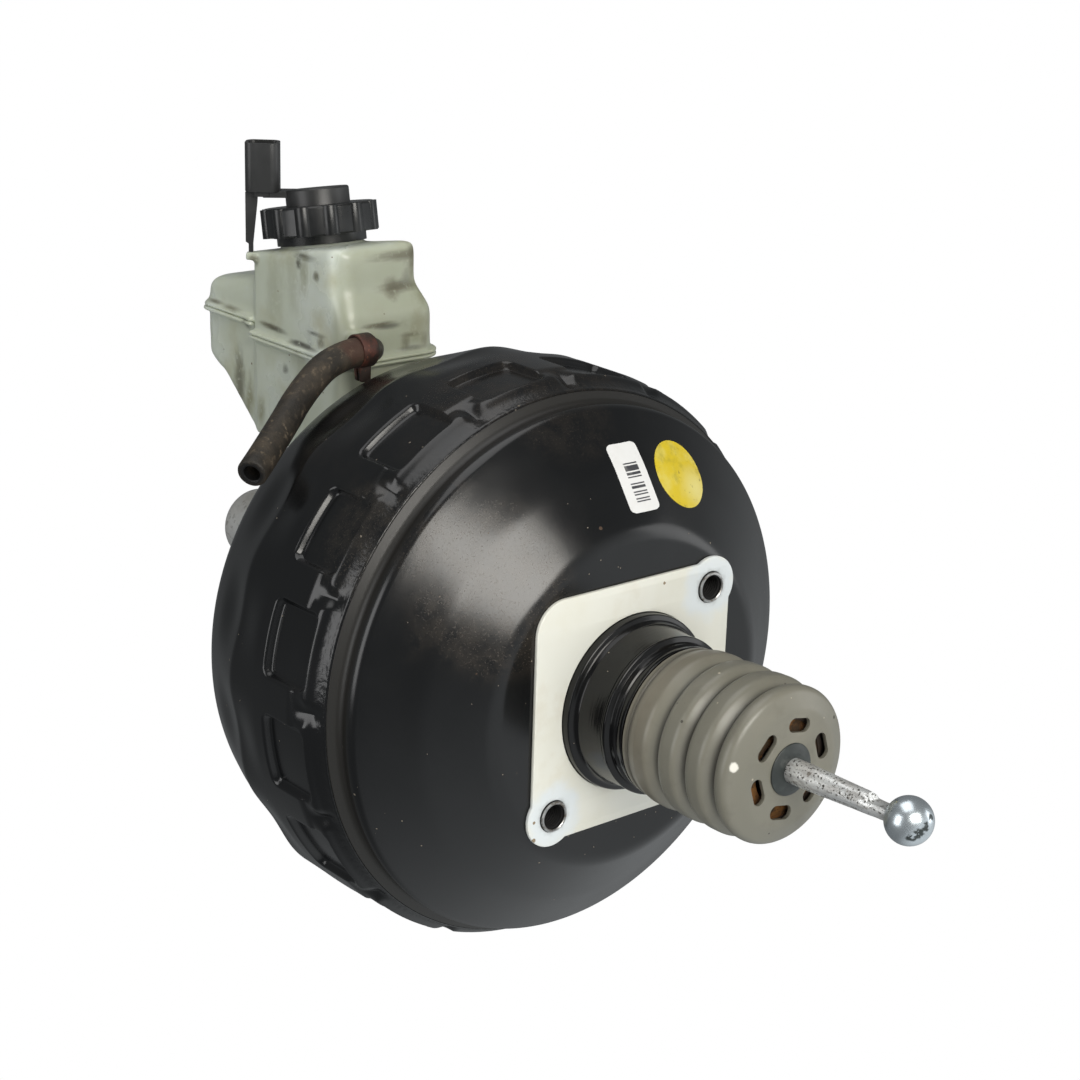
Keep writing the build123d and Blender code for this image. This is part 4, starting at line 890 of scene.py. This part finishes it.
boot_rounds = [0.3, 0.6, 0.3, 0.15, 0.5, 4.0, 4.5, 0.7, 4.2, 4.2, 0.7, 4.2, 4.2, 0.7, 4.0, 5.5, 9.0, 0.5,
               0.4, 5.0, 3.0, 2.0, 0.6, 2.5, 2.5, 0.6, 2.5, 2.5, 0.6, 2.0, 1.2, 0.3, 0.3, 0.3, 0.3]


def add_bevel(piece, width, segments, angle):
    """A small rounded edge where faces meet at more than the angle."""
    edge = piece.modifiers.new("edge", "BEVEL")
    edge.width = width * MM
    edge.segments = segments
    edge.limit_method = "ANGLE"
    edge.angle_limit = math.radians(angle)


boot_loop = spaced(rounded(boot_outer + boot_inner, boot_rounds, 10.0, True), 2.2)
boot = spun("dust_boot_bellows", boot_loop, even(192), 60)
slots = []
for i in range(vent_count):
    angle = math.radians(360.0 / vent_count * i + vent_phase)
    outline = []
    reach = (vent_size[0] - vent_size[1]) / 2
    for a in np.linspace(0, 2 * math.pi, 33)[:-1]:
        outline.append((vent_size[1] / 2 * math.cos(a), vent_size[1] / 2 * math.sin(a)
                        + (reach if math.sin(a) >= 0 else -reach)))
    points = []
    for y in (boot_end_y - 4.0, boot_end_y + 5.0):
        for u, v in outline:
            radial = vent_circle + u
            points.append((radial * math.cos(angle) - v * math.sin(angle), y,
                           radial * math.sin(angle) + v * math.cos(angle)))
    count = len(outline)
    faces = wrap_faces(2, count) + [tuple(range(count)), tuple(range(2 * count - 1, count - 1, -1))]
    slots.append(solid("vent_cutter_%d" % i, points, faces))
cut_away(boot, slots)
add_bevel(boot, 0.35, 2, 60.0)
keep_baked(boot)
for vertex in boot.data.vertices:
    vertex.co.z += boot_slope * (boot_slope_y * MM - vertex.co.y)
boot.data.shade_smooth()
boot.data.set_sharp_from_angle(angle=math.radians(50))
paint = Finish("boot_rubber", (0.145, 0.140, 0.112), 0.36)
paint.clouds(24.0, 0.38, 0.72, (0.172, 0.163, 0.130), 0.30)
paint.clouds(75.0, 0.52, 0.74, (0.110, 0.103, 0.080), 0.44, 0.6, detail=8.0)
height = paint.axis("Y")
paint.lay(paint.between(height, -0.0500, -0.0400), (0.135, 0.115, 0.082), 0.40, 0.5)
# Painted shade: a dark band along each valley of the bellows.
for shaded_valley_y in (-0.0340, -0.0512, -0.0669, -0.0830):
    far = paint.math("ABSOLUTE", paint.math("SUBTRACT", height, shaded_valley_y))
    paint.lay(paint.between(far, 0.0028, 0.0004), (0.045, 0.042, 0.032), 0.5, 0.75)
paint.lay(paint.group(stain, Centre=(-0.0300, -0.0930, 0.0100), Radius=0.0024, Ragged=1.0, Scale=420.0),
          (0.62, 0.60, 0.54), 0.5)
paint.flecks(230.0, 0.05, 0.28, (0.05, 0.045, 0.035), 0.7)
paint.flecks(330.0, 0.03, 0.25, (0.33, 0.30, 0.24), 0.7)
paint.grain(1800.0, 0.08, 0.0002, 3.0)
paint.grain(120.0, 0.10, 0.0005, 3.0)
dress(boot, paint.done(), "casing", "boot_rubber", "dust_boot")
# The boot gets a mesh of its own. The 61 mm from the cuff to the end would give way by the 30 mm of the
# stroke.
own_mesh(boot)


# Input rod. Forged steel rod, zinc-plated and worn, with a bush moulded round it where it leaves the boot, a
# flat, an oblique step at the neck, and a polished ball for the pedal's clip. It leans up on its inner ball.
rod_pivot_y = -12.0
rod_lean = 1.5
rod_radius = 4.7
swell_radius = 5.3
ball_y = -158.5
ball_radius = 9.8


def leaned(made):
    """Turn a piece about the rod's inner ball, so that its outer end lies higher."""
    pivot = Matrix.Translation((0, rod_pivot_y * MM, 0))
    made.data.transform(pivot @ Matrix.Rotation(math.radians(-rod_lean), 4, "X") @ pivot.inverted())
    return made


def capped(name, line, around, sharp=35.0):
    """Turn a line of (radius, y) that ends on the axis at both ends."""
    line = np.array([(max(r, 0.0), y) for r, y in line])
    angles = even(around)
    points, faces, starts = [], [], []
    for r, y in line:
        starts.append(len(points))
        if r < 1e-6:
            points.append((0.0, y, 0.0))
        else:
            points += [(r * math.cos(a), y, r * math.sin(a)) for a in angles]
    for i in range(len(line) - 1):
        a, b = starts[i], starts[i + 1]
        one, two = line[i][0] < 1e-6, line[i + 1][0] < 1e-6
        for j in range(around):
            k = (j + 1) % around
            if one and two:
                continue
            if one:
                faces.append((a, b + k, b + j))
            elif two:
                faces.append((a + j, a + k, b))
            else:
                faces.append((a + j, a + k, b + k, b + j))
    return solid(name, points, faces, sharp)


rod_line = [(0, -12.0), (3.3, -12.0), (3.3, -18.0), (rod_radius, -20.0), (rod_radius, -51.0), (12.0, -51.0),
            (12.0, -52.0), (rod_radius, -52.0), (rod_radius, -88.0), (swell_radius, -97.0),
            (swell_radius, -104.0), (rod_radius, -136.0), (4.4, -139.6), (4.1, -143.0), (3.9, -151.0),
            (3.6, -154.5), (0, -154.5)]
rod_rounds = [0, 0.4, 0.5, 0.5, 0.2, 0.2, 0.2, 0.2, 3.0, 9.0, 9.0, 2.0, 1.0, 1.5, 2.0, 0.3, 0]
rod = capped("input_rod_shank", spaced(rounded(rod_line, rod_rounds, 20.0), 1.0), 96, 30)
# Flats: normal in X and Z, distance from the axis, where it starts and where it is full.
flats = (((-0.72, -0.69), 3.7, -98.0, -132.0), ((0.10, 0.99), 1.9, -137.6, -139.4))
for vertex in rod.data.vertices:
    x, y, z = vertex.co / MM
    for (nx, nz), depth_at, start_y, full_y in flats:
        share = min(1.0, max(0.0, (start_y - y) / (start_y - full_y)))
        limit = swell_radius + 0.1 + (depth_at - swell_radius - 0.1) * share
        over = x * nx + z * nz - limit
        if y < start_y and over > 0:
            x, z = x - nx * over, z - nz * over
    vertex.co = Vector((x, y, z)) * MM
leaned(rod)
rod.data.set_sharp_from_angle(angle=math.radians(24))
paint = Finish("rod_zinc", (0.83, 0.84, 0.83), 0.30, Metallic=0.7)
streaks = paint.mottle(260.0, 0.42, 0.60, 7.0, paint.stretched(1.0, 0.35, 1.0))
paint.lay(streaks, (0.50, 0.49, 0.47), 0.46, 0.85)
from_pivot = paint.math("ADD", paint.axis("Y"), -rod_pivot_y * MM)
middle = paint.math("MULTIPLY_ADD", from_pivot, math.tan(math.radians(rod_lean)), paint.axis("Z"))
worn = paint.between(paint.math("ABSOLUTE", paint.math("ADD", middle, 0.0012)), 0.0005, 0.0016)
marks = paint.math("MULTIPLY", worn, paint.mottle(820.0, 0.555, 0.60))
pits = paint.lay(marks, (0.060, 0.056, 0.048), 0.7)
paint.clouds(260.0, 0.62, 0.68, (0.10, 0.080, 0.055), 0.7, 0.7)
paint.bump(pits, -0.5, 0.0003)
paint.grain(1300.0, 0.35, 0.0003, 4.0)
rod_finish = paint.done()
dress(rod, rod_finish, "input_rod", "bare_steel", "input_push_rod")

half_turn = np.linspace(0, math.pi, 49)
ball_line = [(ball_radius * math.sin(a), ball_y + ball_radius * math.cos(a)) for a in half_turn]
ball = leaned(capped("pedal_ball", ball_line, 96, 60))
paint = Finish("ball_steel", (0.62, 0.68, 0.72), 0.27, Metallic=0.9)
paint.clouds(110.0, 0.45, 0.7, (0.56, 0.61, 0.64), 0.30)
# A darker band across the ball's outer end, laid as four broken patches.
for centre, radius in (((-0.0063, -0.1655, 0.0011), 0.0026), ((-0.0041, -0.1673, 0.0029), 0.0030),
                       ((-0.0012, -0.1681, 0.0053), 0.0026), ((0.0023, -0.1671, 0.0077), 0.0018)):
    darker_patch = paint.group(stain, Centre=centre, Radius=radius, Ragged=1.2, Scale=420.0)
    paint.lay(paint.math("MULTIPLY", darker_patch, paint.mottle(400.0, 0.40, 0.50)), (0.075, 0.085, 0.085), 0.45)
paint.grain(160.0, 0.05, 0.0005, 2.0)
dress(ball, paint.done(), "input_rod", "bare_steel")

bush_line = [(4.76, -88.5), (8.2, -88.5), (8.2, -92.0), (9.9, -92.8), (9.9, -94.6), (11.2, -94.9),
             (11.2, -95.7), (9.0, -96.5), (7.2, -96.9), (4.76, -96.9)]
rod_bush = leaned(spun("rod_bush_sleeve", chamfered(bush_line, 0.5, 20.0), even(128), 40))
paint = Finish("bush_rubber", (0.017, 0.021, 0.020), 0.42)
paint.clouds(160.0, 0.45, 0.65, (0.030, 0.036, 0.034), 0.5)
paint.grain(800.0, 0.15, 0.0002)
dress(rod_bush, paint.done(), "input_rod", "black_rubber", "rod_bush")


# Power piston. The valve body's tube slides in the neck; its open end holds a ring of oiled foam filter, seen
# through the boot's vents. Plate, diaphragm, push rod, valve parts and wire springs are inside the shells.
paint = Finish("oiled_foam", (0.15, 0.064, 0.014), 0.8)
paint.clouds(160.0, 0.40, 0.58, (0.040, 0.024, 0.010), 0.9, detail=4.0)
pores = paint.group(specks, Scale=900.0, Share=0.7, Size=0.6)
paint.lay(pores, (0.05, 0.02, 0.006), 0.9, 0.7)
paint.bump(pores, -0.8, 0.0006)
filter_foam = paint.done()
dress_cad(filter_foam, "air_filter")
paint = Finish("plated_steel", (0.46, 0.46, 0.45), 0.33, Metallic=1.0)
paint.clouds(120.0, 0.45, 0.7, (0.33, 0.32, 0.30), 0.45)
plated_steel = paint.done()
dress_cad(plated_steel, "diaphragm_plate", "output_push_rod", "output_rod_tip", "poppet_retainer",
          "valve_plunger")
paint = Finish("spring_wire", (0.30, 0.30, 0.31), 0.35, Metallic=1.0)
paint.clouds(200.0, 0.5, 0.7, (0.16, 0.14, 0.12), 0.5)
spring_wire = paint.done()
dress_cad(spring_wire, "rod_return_spring", "poppet_spring", "return_spring", "primary_spring",
          "secondary_spring")
# Name, joint that presses it, travel, and the end that stays with the body it rides on (1 front, -1 rear).
for name, joint, travel, end in (("return_spring", "booster_stroke", 30.0, 1),
                                 ("secondary_spring", "secondary_stroke", 15.0, 1),
                                 ("rod_return_spring", "valve_stroke", 1.5, -1)):
    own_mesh(cad[name])


# Master cylinder. Cast aluminium body, sand-textured outside and machined on its flange and ports, bolted
# to the front shell by two studs and nuts; two pistons with rubber cups and springs run in its bore.
paint = Finish("cast_aluminium", (0.60, 0.60, 0.58), 0.5, Metallic=0.6)
paint.clouds(60.0, 0.4, 0.7, (0.48, 0.47, 0.44), 0.58)
paint.clouds(300.0, 0.56, 0.66, (0.20, 0.19, 0.17), 0.7, 0.6)
paint.dust(70.0, 0.42, 0.7, (0.30, 0.28, 0.24), 0.8, 0.5)
paint.grain(900.0, 0.5, 0.0004, 4.0)
cast_finish = paint.done()
dress_cad(cast_finish, "master_cylinder_body", "primary_piston", "secondary_piston")
dress_cad(socket_finish, "cylinder_studs", "flange_nuts", "reservoir_pin")


# Brake-fluid reservoir. Two milky polypropylene mouldings welded at a stepped seam, aged grey-green and
# stained with old fluid and grime; it stands on the cylinder in two rubber grommets, held by a cross pin.
spigot_x, spigot_z, spigot_radius = -22.5, 124.5, 5.9
skin_voxel = 0.95
light_passes, heavy_passes = 5, 60
neck_centre, lug_centre = (-2.6, 232.6), (-30.0, 250.0)


def box_of(low, high):
    """A block between two corners, as a bmesh cube's matrix."""
    low, high = np.array(low) * MM, np.array(high) * MM
    return Matrix.Translation((low + high) / 2) @ Matrix.Diagonal((*(high - low), 1.0))


def softened(name, cuts, blocks, rods, balls, passes):
    """A moulding's own mesh from its CAD node, with blocks, rods and balls joined on and its edges melted
    round. Passes gives the smoothing at a place."""
    made = link_object(name + "_moulding", cad[name].data.copy())
    reworked(made.data, merge_within(1e-6))
    tools = []
    for corners in cuts:
        data = bpy.data.meshes.new("cutter")
        reworked(data, lambda work: bmesh.ops.create_cube(work, size=1.0, matrix=box_of(*corners)))
        tools.append(link_object("cutter", data))
    cut_away(made, tools)

    def join_on(work):
        for corners in blocks:
            bmesh.ops.create_cube(work, size=1.0, matrix=box_of(*corners))
        for place, radius, length, axis in rods:
            turn = Matrix.Rotation(math.pi / 2, 4, {"X": "Y", "Y": "X"}[axis])
            spot = Matrix.Translation([v * MM for v in place]) @ turn
            bmesh.ops.create_cone(work, cap_ends=True, segments=48, radius1=radius * MM, radius2=radius * MM,
                                  depth=length * MM, matrix=spot)
        for place, radius in balls:
            bmesh.ops.create_uvsphere(work, u_segments=32, v_segments=24, radius=radius * MM,
                                      matrix=Matrix.Translation([v * MM for v in place]))

    reworked(made.data, join_on)
    skin = made.modifiers.new("skin", "REMESH")
    skin.mode = "VOXEL"
    skin.voxel_size = skin_voxel * MM
    keep_baked(made)
    for label, count in (("light", light_passes), ("heavy", heavy_passes)):
        group = made.vertex_groups.new(name=label)
        for vertex in made.data.vertices:
            group.add([vertex.index], 1.0 if label == "light" else passes(*(vertex.co / MM)), "REPLACE")
        smooth = made.modifiers.new(label, "SMOOTH")
        smooth.factor = 0.5
        smooth.iterations = count
        smooth.vertex_group = label
    keep_baked(made)
    made.data.shade_smooth()
    return made


def ramp(value, low, high):
    return min(1.0, max(0.0, (value - low) / (high - low)))


def upper_passes(x, y, z):
    """Full above the seam's flange, none at the filler neck and the sensor's lug."""
    from_neck = math.hypot(x - neck_centre[0], y - neck_centre[1])
    from_lug = abs(y - lug_centre[1]) + abs(x - lug_centre[0])
    return ramp(z, 119.0, 124.0) * ramp(from_neck, 21.5, 25.0) * ramp(from_lug, 8.0, 14.0)


def lower_passes(x, y, z):
    """Part of the way between the seam's flange and the two feet."""
    return ramp(z, 108.0, 104.0) * ramp(z, 58.0, 66.0) * 0.6


upper = softened("reservoir_upper",
                 [((-19.6, 157.0, 117.4), (-2.0, 177.4, 132.0))],
                 [((7.2, 177.2, 117.6), (18.6, 178.9, 118.6)), ((7.2, 177.2, 124.2), (18.6, 178.9, 125.2)),
                  ((7.2, 177.2, 117.6), (8.2, 178.9, 125.2)), ((17.6, 177.2, 117.6), (18.6, 178.9, 125.2)),
                  ((-29.0, 196.0, 118.0), (-27.4, 204.5, 126.0))],
                 [((-12.0, 178.9, spigot_z), 4.0, 1.9, "Y"),
                  ((spigot_x, 172.0, spigot_z), spigot_radius, 13.0, "Y"),
                  ((-20.6, 166.0, spigot_z), spigot_radius, 2.6, "X")],
                 [((spigot_x + 2.4, 166.0, spigot_z), spigot_radius)], upper_passes)
lower = softened("reservoir_lower", [], [], [], [], lower_passes)

# Stains, and painted shade under the shelf: centre, radius, stretch along X, Y and Z, colour, strength.
grime_and_shade, soot_and_shade, moss = (0.075, 0.064, 0.034), (0.028, 0.024, 0.016), (0.19, 0.185, 0.105)
spot, along_y, along_x, runs = (1.0, 1.0, 1.0), (1.0, 0.33, 1.9), (0.33, 1.0, 1.9), (1.0, 1.2, 0.45)
tank_stains_and_shade = [
    ((-28.0, 212.0, 160.5), 5.0, along_y, soot_and_shade, 0.85), ((-28.0, 216.0, 156.5), 3.6, spot, soot_and_shade, 0.8),
    ((-28.0, 211.0, 152.0), 7.0, runs, moss, 0.55), ((-28.0, 200.7, 152.8), 4.0, spot, grime_and_shade, 0.75),
    ((-28.0, 220.0, 150.0), 12.0, runs, moss, 0.30), ((-28.0, 236.0, 140.0), 14.0, runs, moss, 0.30),
    ((-24.5, 179.5, 149.0), 6.4, spot, grime_and_shade, 0.95), ((-22.5, 180.5, 151.5), 3.8, spot, soot_and_shade, 0.75),
    ((3.0, 183.5, 146.4), 8.0, spot, grime_and_shade, 0.60), ((9.5, 183.5, 147.4), 7.0, along_x, grime_and_shade, 0.75),
    ((12.0, 183.5, 150.5), 6.0, spot, soot_and_shade, 0.40), ((9.0, 184.5, 162.0), 8.0, along_x, grime_and_shade, 0.75),
    ((17.0, 184.5, 160.0), 9.0, spot, grime_and_shade, 0.60), ((21.0, 190.0, 158.0), 9.0, spot, grime_and_shade, 0.50),
    ((21.0, 185.0, 146.0), 12.0, runs, moss, 0.60), ((-28.0, 241.0, 121.6), 4.4, along_y, grime_and_shade, 0.85),
    ((-28.0, 233.0, 120.4), 3.6, along_y, soot_and_shade, 0.55), ((-28.0, 215.0, 117.6), 4.4, along_y, soot_and_shade, 0.85),
    ((-28.0, 205.0, 117.2), 3.8, along_y, soot_and_shade, 0.70), ((-28.0, 201.5, 125.4), 3.4, along_y, soot_and_shade, 0.75),
    ((-28.0, 196.0, 122.0), 4.4, spot, grime_and_shade, 0.70), ((-28.0, 227.4, 102.3), 3.6, spot, soot_and_shade, 0.75),
    # Painted shade: both marks on the next line lie under the shelf of the rear wall.
    ((-8.0, 178.4, 131.8), 4.0, along_x, grime_and_shade, 0.85), ((-1.0, 178.2, 130.4), 3.4, along_x, soot_and_shade, 0.60),
    ((12.0, 178.6, 118.2), 3.6, along_x, soot_and_shade, 0.65), ((12.0, 178.6, 125.2), 3.4, along_x, grime_and_shade, 0.75),
    ((7.6, 178.6, 121.5), 3.4, runs, grime_and_shade, 0.75), ((18.4, 178.6, 121.5), 3.4, runs, grime_and_shade, 0.60),
    ((15.0, 178.0, 128.0), 12.0, spot, moss, 0.55), ((-28.0, 262.0, 117.5), 4.4, spot, soot_and_shade, 0.65),
    ((-26.5, 276.0, 123.0), 4.4, along_y, grime_and_shade, 0.85), ((-26.5, 291.0, 123.6), 3.8, along_y, grime_and_shade, 0.80),
    ((-26.5, 270.0, 86.0), 10.0, runs, grime_and_shade, 0.75), ((-26.5, 262.0, 80.0), 8.0, runs, moss, 0.80),
    ((-28.0, 249.0, 76.0), 6.0, runs, moss, 0.80), ((-28.0, 214.0, 108.0), 12.0, runs, moss, 0.35),
    ((-29.0, 252.0, 152.0), 4.4, spot, grime_and_shade, 0.80),
]


def tank_material(name, places):
    paint = Finish(name, (0.455, 0.490, 0.395), 0.30, Subsurface_Weight=0.5, Subsurface_Scale=0.006)
    paint.shader.inputs["Subsurface Radius"].default_value = (1.0, 1.0, 0.8)
    paint.clouds(16.0, 0.38, 0.70, (0.535, 0.575, 0.515), 0.25, 0.9, detail=4.0)
    paint.clouds(34.0, 0.50, 0.76, (0.36, 0.35, 0.225), 0.42, 0.65, detail=8.0)
    # Painted shade: the rear wall, where Y is under 183 mm, is laid darker.
    rear_wall_shade = paint.between(paint.axis("Y"), 0.190, 0.183)
    paint.lay(rear_wall_shade, (0.27, 0.285, 0.21), 0.32, 0.75)
    broken = paint.mottle(330.0, 0.22, 0.48, 6.0)
    for centre, radius, stretch, colour, strength in places:
        held_at = tuple(v * k * MM for v, k in zip(centre, stretch))
        mask = paint.group(stain, Vector=paint.stretched(*stretch), Centre=held_at, Radius=radius * MM,
                           Ragged=1.1, Scale=170.0, Core=0.1)
        paint.lay(paint.math("MULTIPLY", mask, broken), colour, 0.5, strength)
    elbow_foot = paint.group(stain, Centre=(-0.0165, 0.1660, 0.1245), Radius=0.0115, Ragged=0.2, Core=0.8)
    paint.lay(elbow_foot, soot_and_shade, 0.5)
    paint.flecks(420.0, 0.02, 0.3, (0.16, 0.13, 0.08), 0.6)
    paint.grain(60.0, 0.10, 0.0010, 3.0)
    paint.grain(500.0, 0.08, 0.0002, 2.0)
    return paint.done()


upper_finish = tank_material("tank_upper_plastic", [p for p in tank_stains_and_shade if p[0][2] > 112.0])
lower_finish = tank_material("tank_lower_plastic", [p for p in tank_stains_and_shade if p[0][2] < 124.0])
dress(upper, upper_finish, "casing", "tank_plastic", "reservoir_upper")
dress(lower, lower_finish, "casing", "tank_plastic", "reservoir_lower")


# Filler cap. Black glass-filled nylon screw ring with grip lobes round a fixed insert; the insert carries the
# level sensor's tube, an arm, and the upright socket for the wiring plug.
paint = Finish("cap_nylon", (0.0055, 0.0060, 0.0062), 0.27)
paint.clouds(60.0, 0.42, 0.7, (0.009, 0.0095, 0.010), 0.36)
paint.dust(120.0, 0.48, 0.75, (0.045, 0.042, 0.037), 0.5, 0.35)
paint.grain(700.0, 0.06, 0.0002, 3.0)
cap_finish = paint.done()
dress_cad(cap_finish, "cap_ring", "filter_ring", "check_valve")
paint = Finish("plug_nylon", (0.018, 0.0185, 0.0185), 0.38)
paint.clouds(60.0, 0.42, 0.7, (0.026, 0.0265, 0.027), 0.44)
paint.grain(700.0, 0.06, 0.0002, 3.0)
dress_cad(paint.done(), "level_sensor")
for name, width in (("cap_ring", 0.9), ("level_sensor", 1.2)):
    weld = cad[name].modifiers.new("weld", "WELD")
    weld.merge_threshold = 0.00001
    add_bevel(cad[name], width, 3, 35.0)
paint = Finish("pin_brass", (0.55, 0.45, 0.22), 0.3, Metallic=1.0)
dress_cad(paint.done(), "sensor_pins")
paint = Finish("float_foam", (0.70, 0.64, 0.50), 0.7)
paint.grain(900.0, 0.3, 0.0003)
dress_cad(paint.done(), "level_float")


# Hose clamp. Spring-steel band round the hose on its barb, with two bent ears underneath to open it, red
# with rust.
clamp_start, clamp_width = -30.2, 8.0
clamp_y, clamp_z = 166.0, 124.5
band_line = [(hose_radius + 0.02, 0.0), (hose_radius + 1.1, 0.0), (hose_radius + 1.1, clamp_width),
             (hose_radius + 0.02, clamp_width)]
clamp = spun("clamp_band", chamfered(band_line, 0.3, 30.0), even(96), 30)
clamp.data.transform(Matrix.Translation((clamp_start * MM, clamp_y * MM, clamp_z * MM))
                     @ Matrix(((0, 1, 0, 0), (1, 0, 0, 0), (0, 0, -1, 0), (0, 0, 0, 1))))
ear_thick = 1.6
ear_corners = [(0.6, -6.4), (7.4, -6.4), (7.2, -14.6), (1.4, -14.6)]
ear_outline = rounded(ear_corners, [0.2, 0.2, 1.6, 1.6], 15.0, True)
ears = []
for number, ear_y in enumerate((-2.6, 0.6)):
    ear = prism("clamp_ear_%d" % number, [tuple(p) for p in ear_outline], [], ear_y, ear_y + ear_thick, 0.3)
    ear.data.transform(Matrix.Translation((clamp_start * MM, clamp_y * MM, clamp_z * MM)))
    ears.append(ear)
paint = Finish("clamp_rust", (0.075, 0.026, 0.017), 0.55, Metallic=0.25)
paint.clouds(75.0, 0.40, 0.54, (0.016, 0.012, 0.009), 0.6, 0.9, detail=6.0)
paint.clouds(420.0, 0.60, 0.70, (0.20, 0.075, 0.045), 0.8, 0.7, detail=4.0)
paint.grain(1200.0, 0.4, 0.0003, 4.0)
clamp_finish = paint.done()
dress(clamp, clamp_finish, "casing", "bare_steel", "hose_clamp")
for ear in ears:
    dress(ear, clamp_finish, "casing", "bare_steel")


# Light. Soft boxes in a studio: a key behind the camera, a broad one above, one at each side, and a low fill
# that metal doesn't mirror. The white surround is seen by the camera only; the rest of the world is dim.
def soft_box(name, place, aim, size, power):
    lamp = bpy.data.lights.new(name, "AREA")
    lamp.shape = "RECTANGLE"
    lamp.size, lamp.size_y = size
    lamp.energy = power
    made = link_object(name, lamp)
    made.location = place
    made.rotation_mode = "QUATERNION"
    made.rotation_quaternion = (Vector(aim) - Vector(place)).to_track_quat("-Z", "Y")
    return made


key = soft_box("key", (-0.35, -1.45, 0.95), (0, 0, 0.02), (1.1, 0.8), 26.0)
key.data.color = (1.0, 0.97, 0.91)
soft_box("top", (-0.15, 0.15, 1.5), (0, 0.05, 0), (1.5, 1.1), 9.0)
soft_box("left", (-1.6, 0.25, 0.35), (0, 0.08, 0), (0.8, 1.2), 8.5)
fill = soft_box("fill", (-0.8, -1.25, -0.25), (0, 0, 0.03), (1.2, 1.2), 11.5)
fill.visible_glossy = False
soft_box("right", (1.3, -0.9, 0.25), (0, 0, 0), (0.6, 1.0), 3.0)
world = bpy.data.worlds.new("surround")
bpy.context.scene.world = world
world.use_nodes = True
surround = world.node_tree
surround.nodes.clear()
heading = node(surround, "ShaderNodeTexCoord").outputs["Generated"]
bright_side = (0.45, -0.65, -0.60)
toward = node(surround, "ShaderNodeVectorMath", {0: heading, 1: bright_side}, operation="DOT_PRODUCT")
strength = node(surround, "ShaderNodeMapRange", {
    "Value": toward.outputs["Value"], "From Min": 0.15, "From Max": 0.85, "To Min": 0.17, "To Max": 0.72},
    interpolation_type="SMOOTHSTEP").outputs[0]
seen = node(surround, "ShaderNodeLightPath").outputs["Is Camera Ray"]
dim = node(surround, "ShaderNodeBackground", {"Color": (0.94, 0.98, 1.0, 1.0), "Strength": strength})
white = node(surround, "ShaderNodeBackground", {"Color": (1, 1, 1, 1), "Strength": 1.0})
mixed = node(surround, "ShaderNodeMixShader", {0: seen, 1: dim.outputs[0], 2: white.outputs[0]})
node(surround, "ShaderNodeOutputWorld", {"Surface": mixed.outputs[0]})
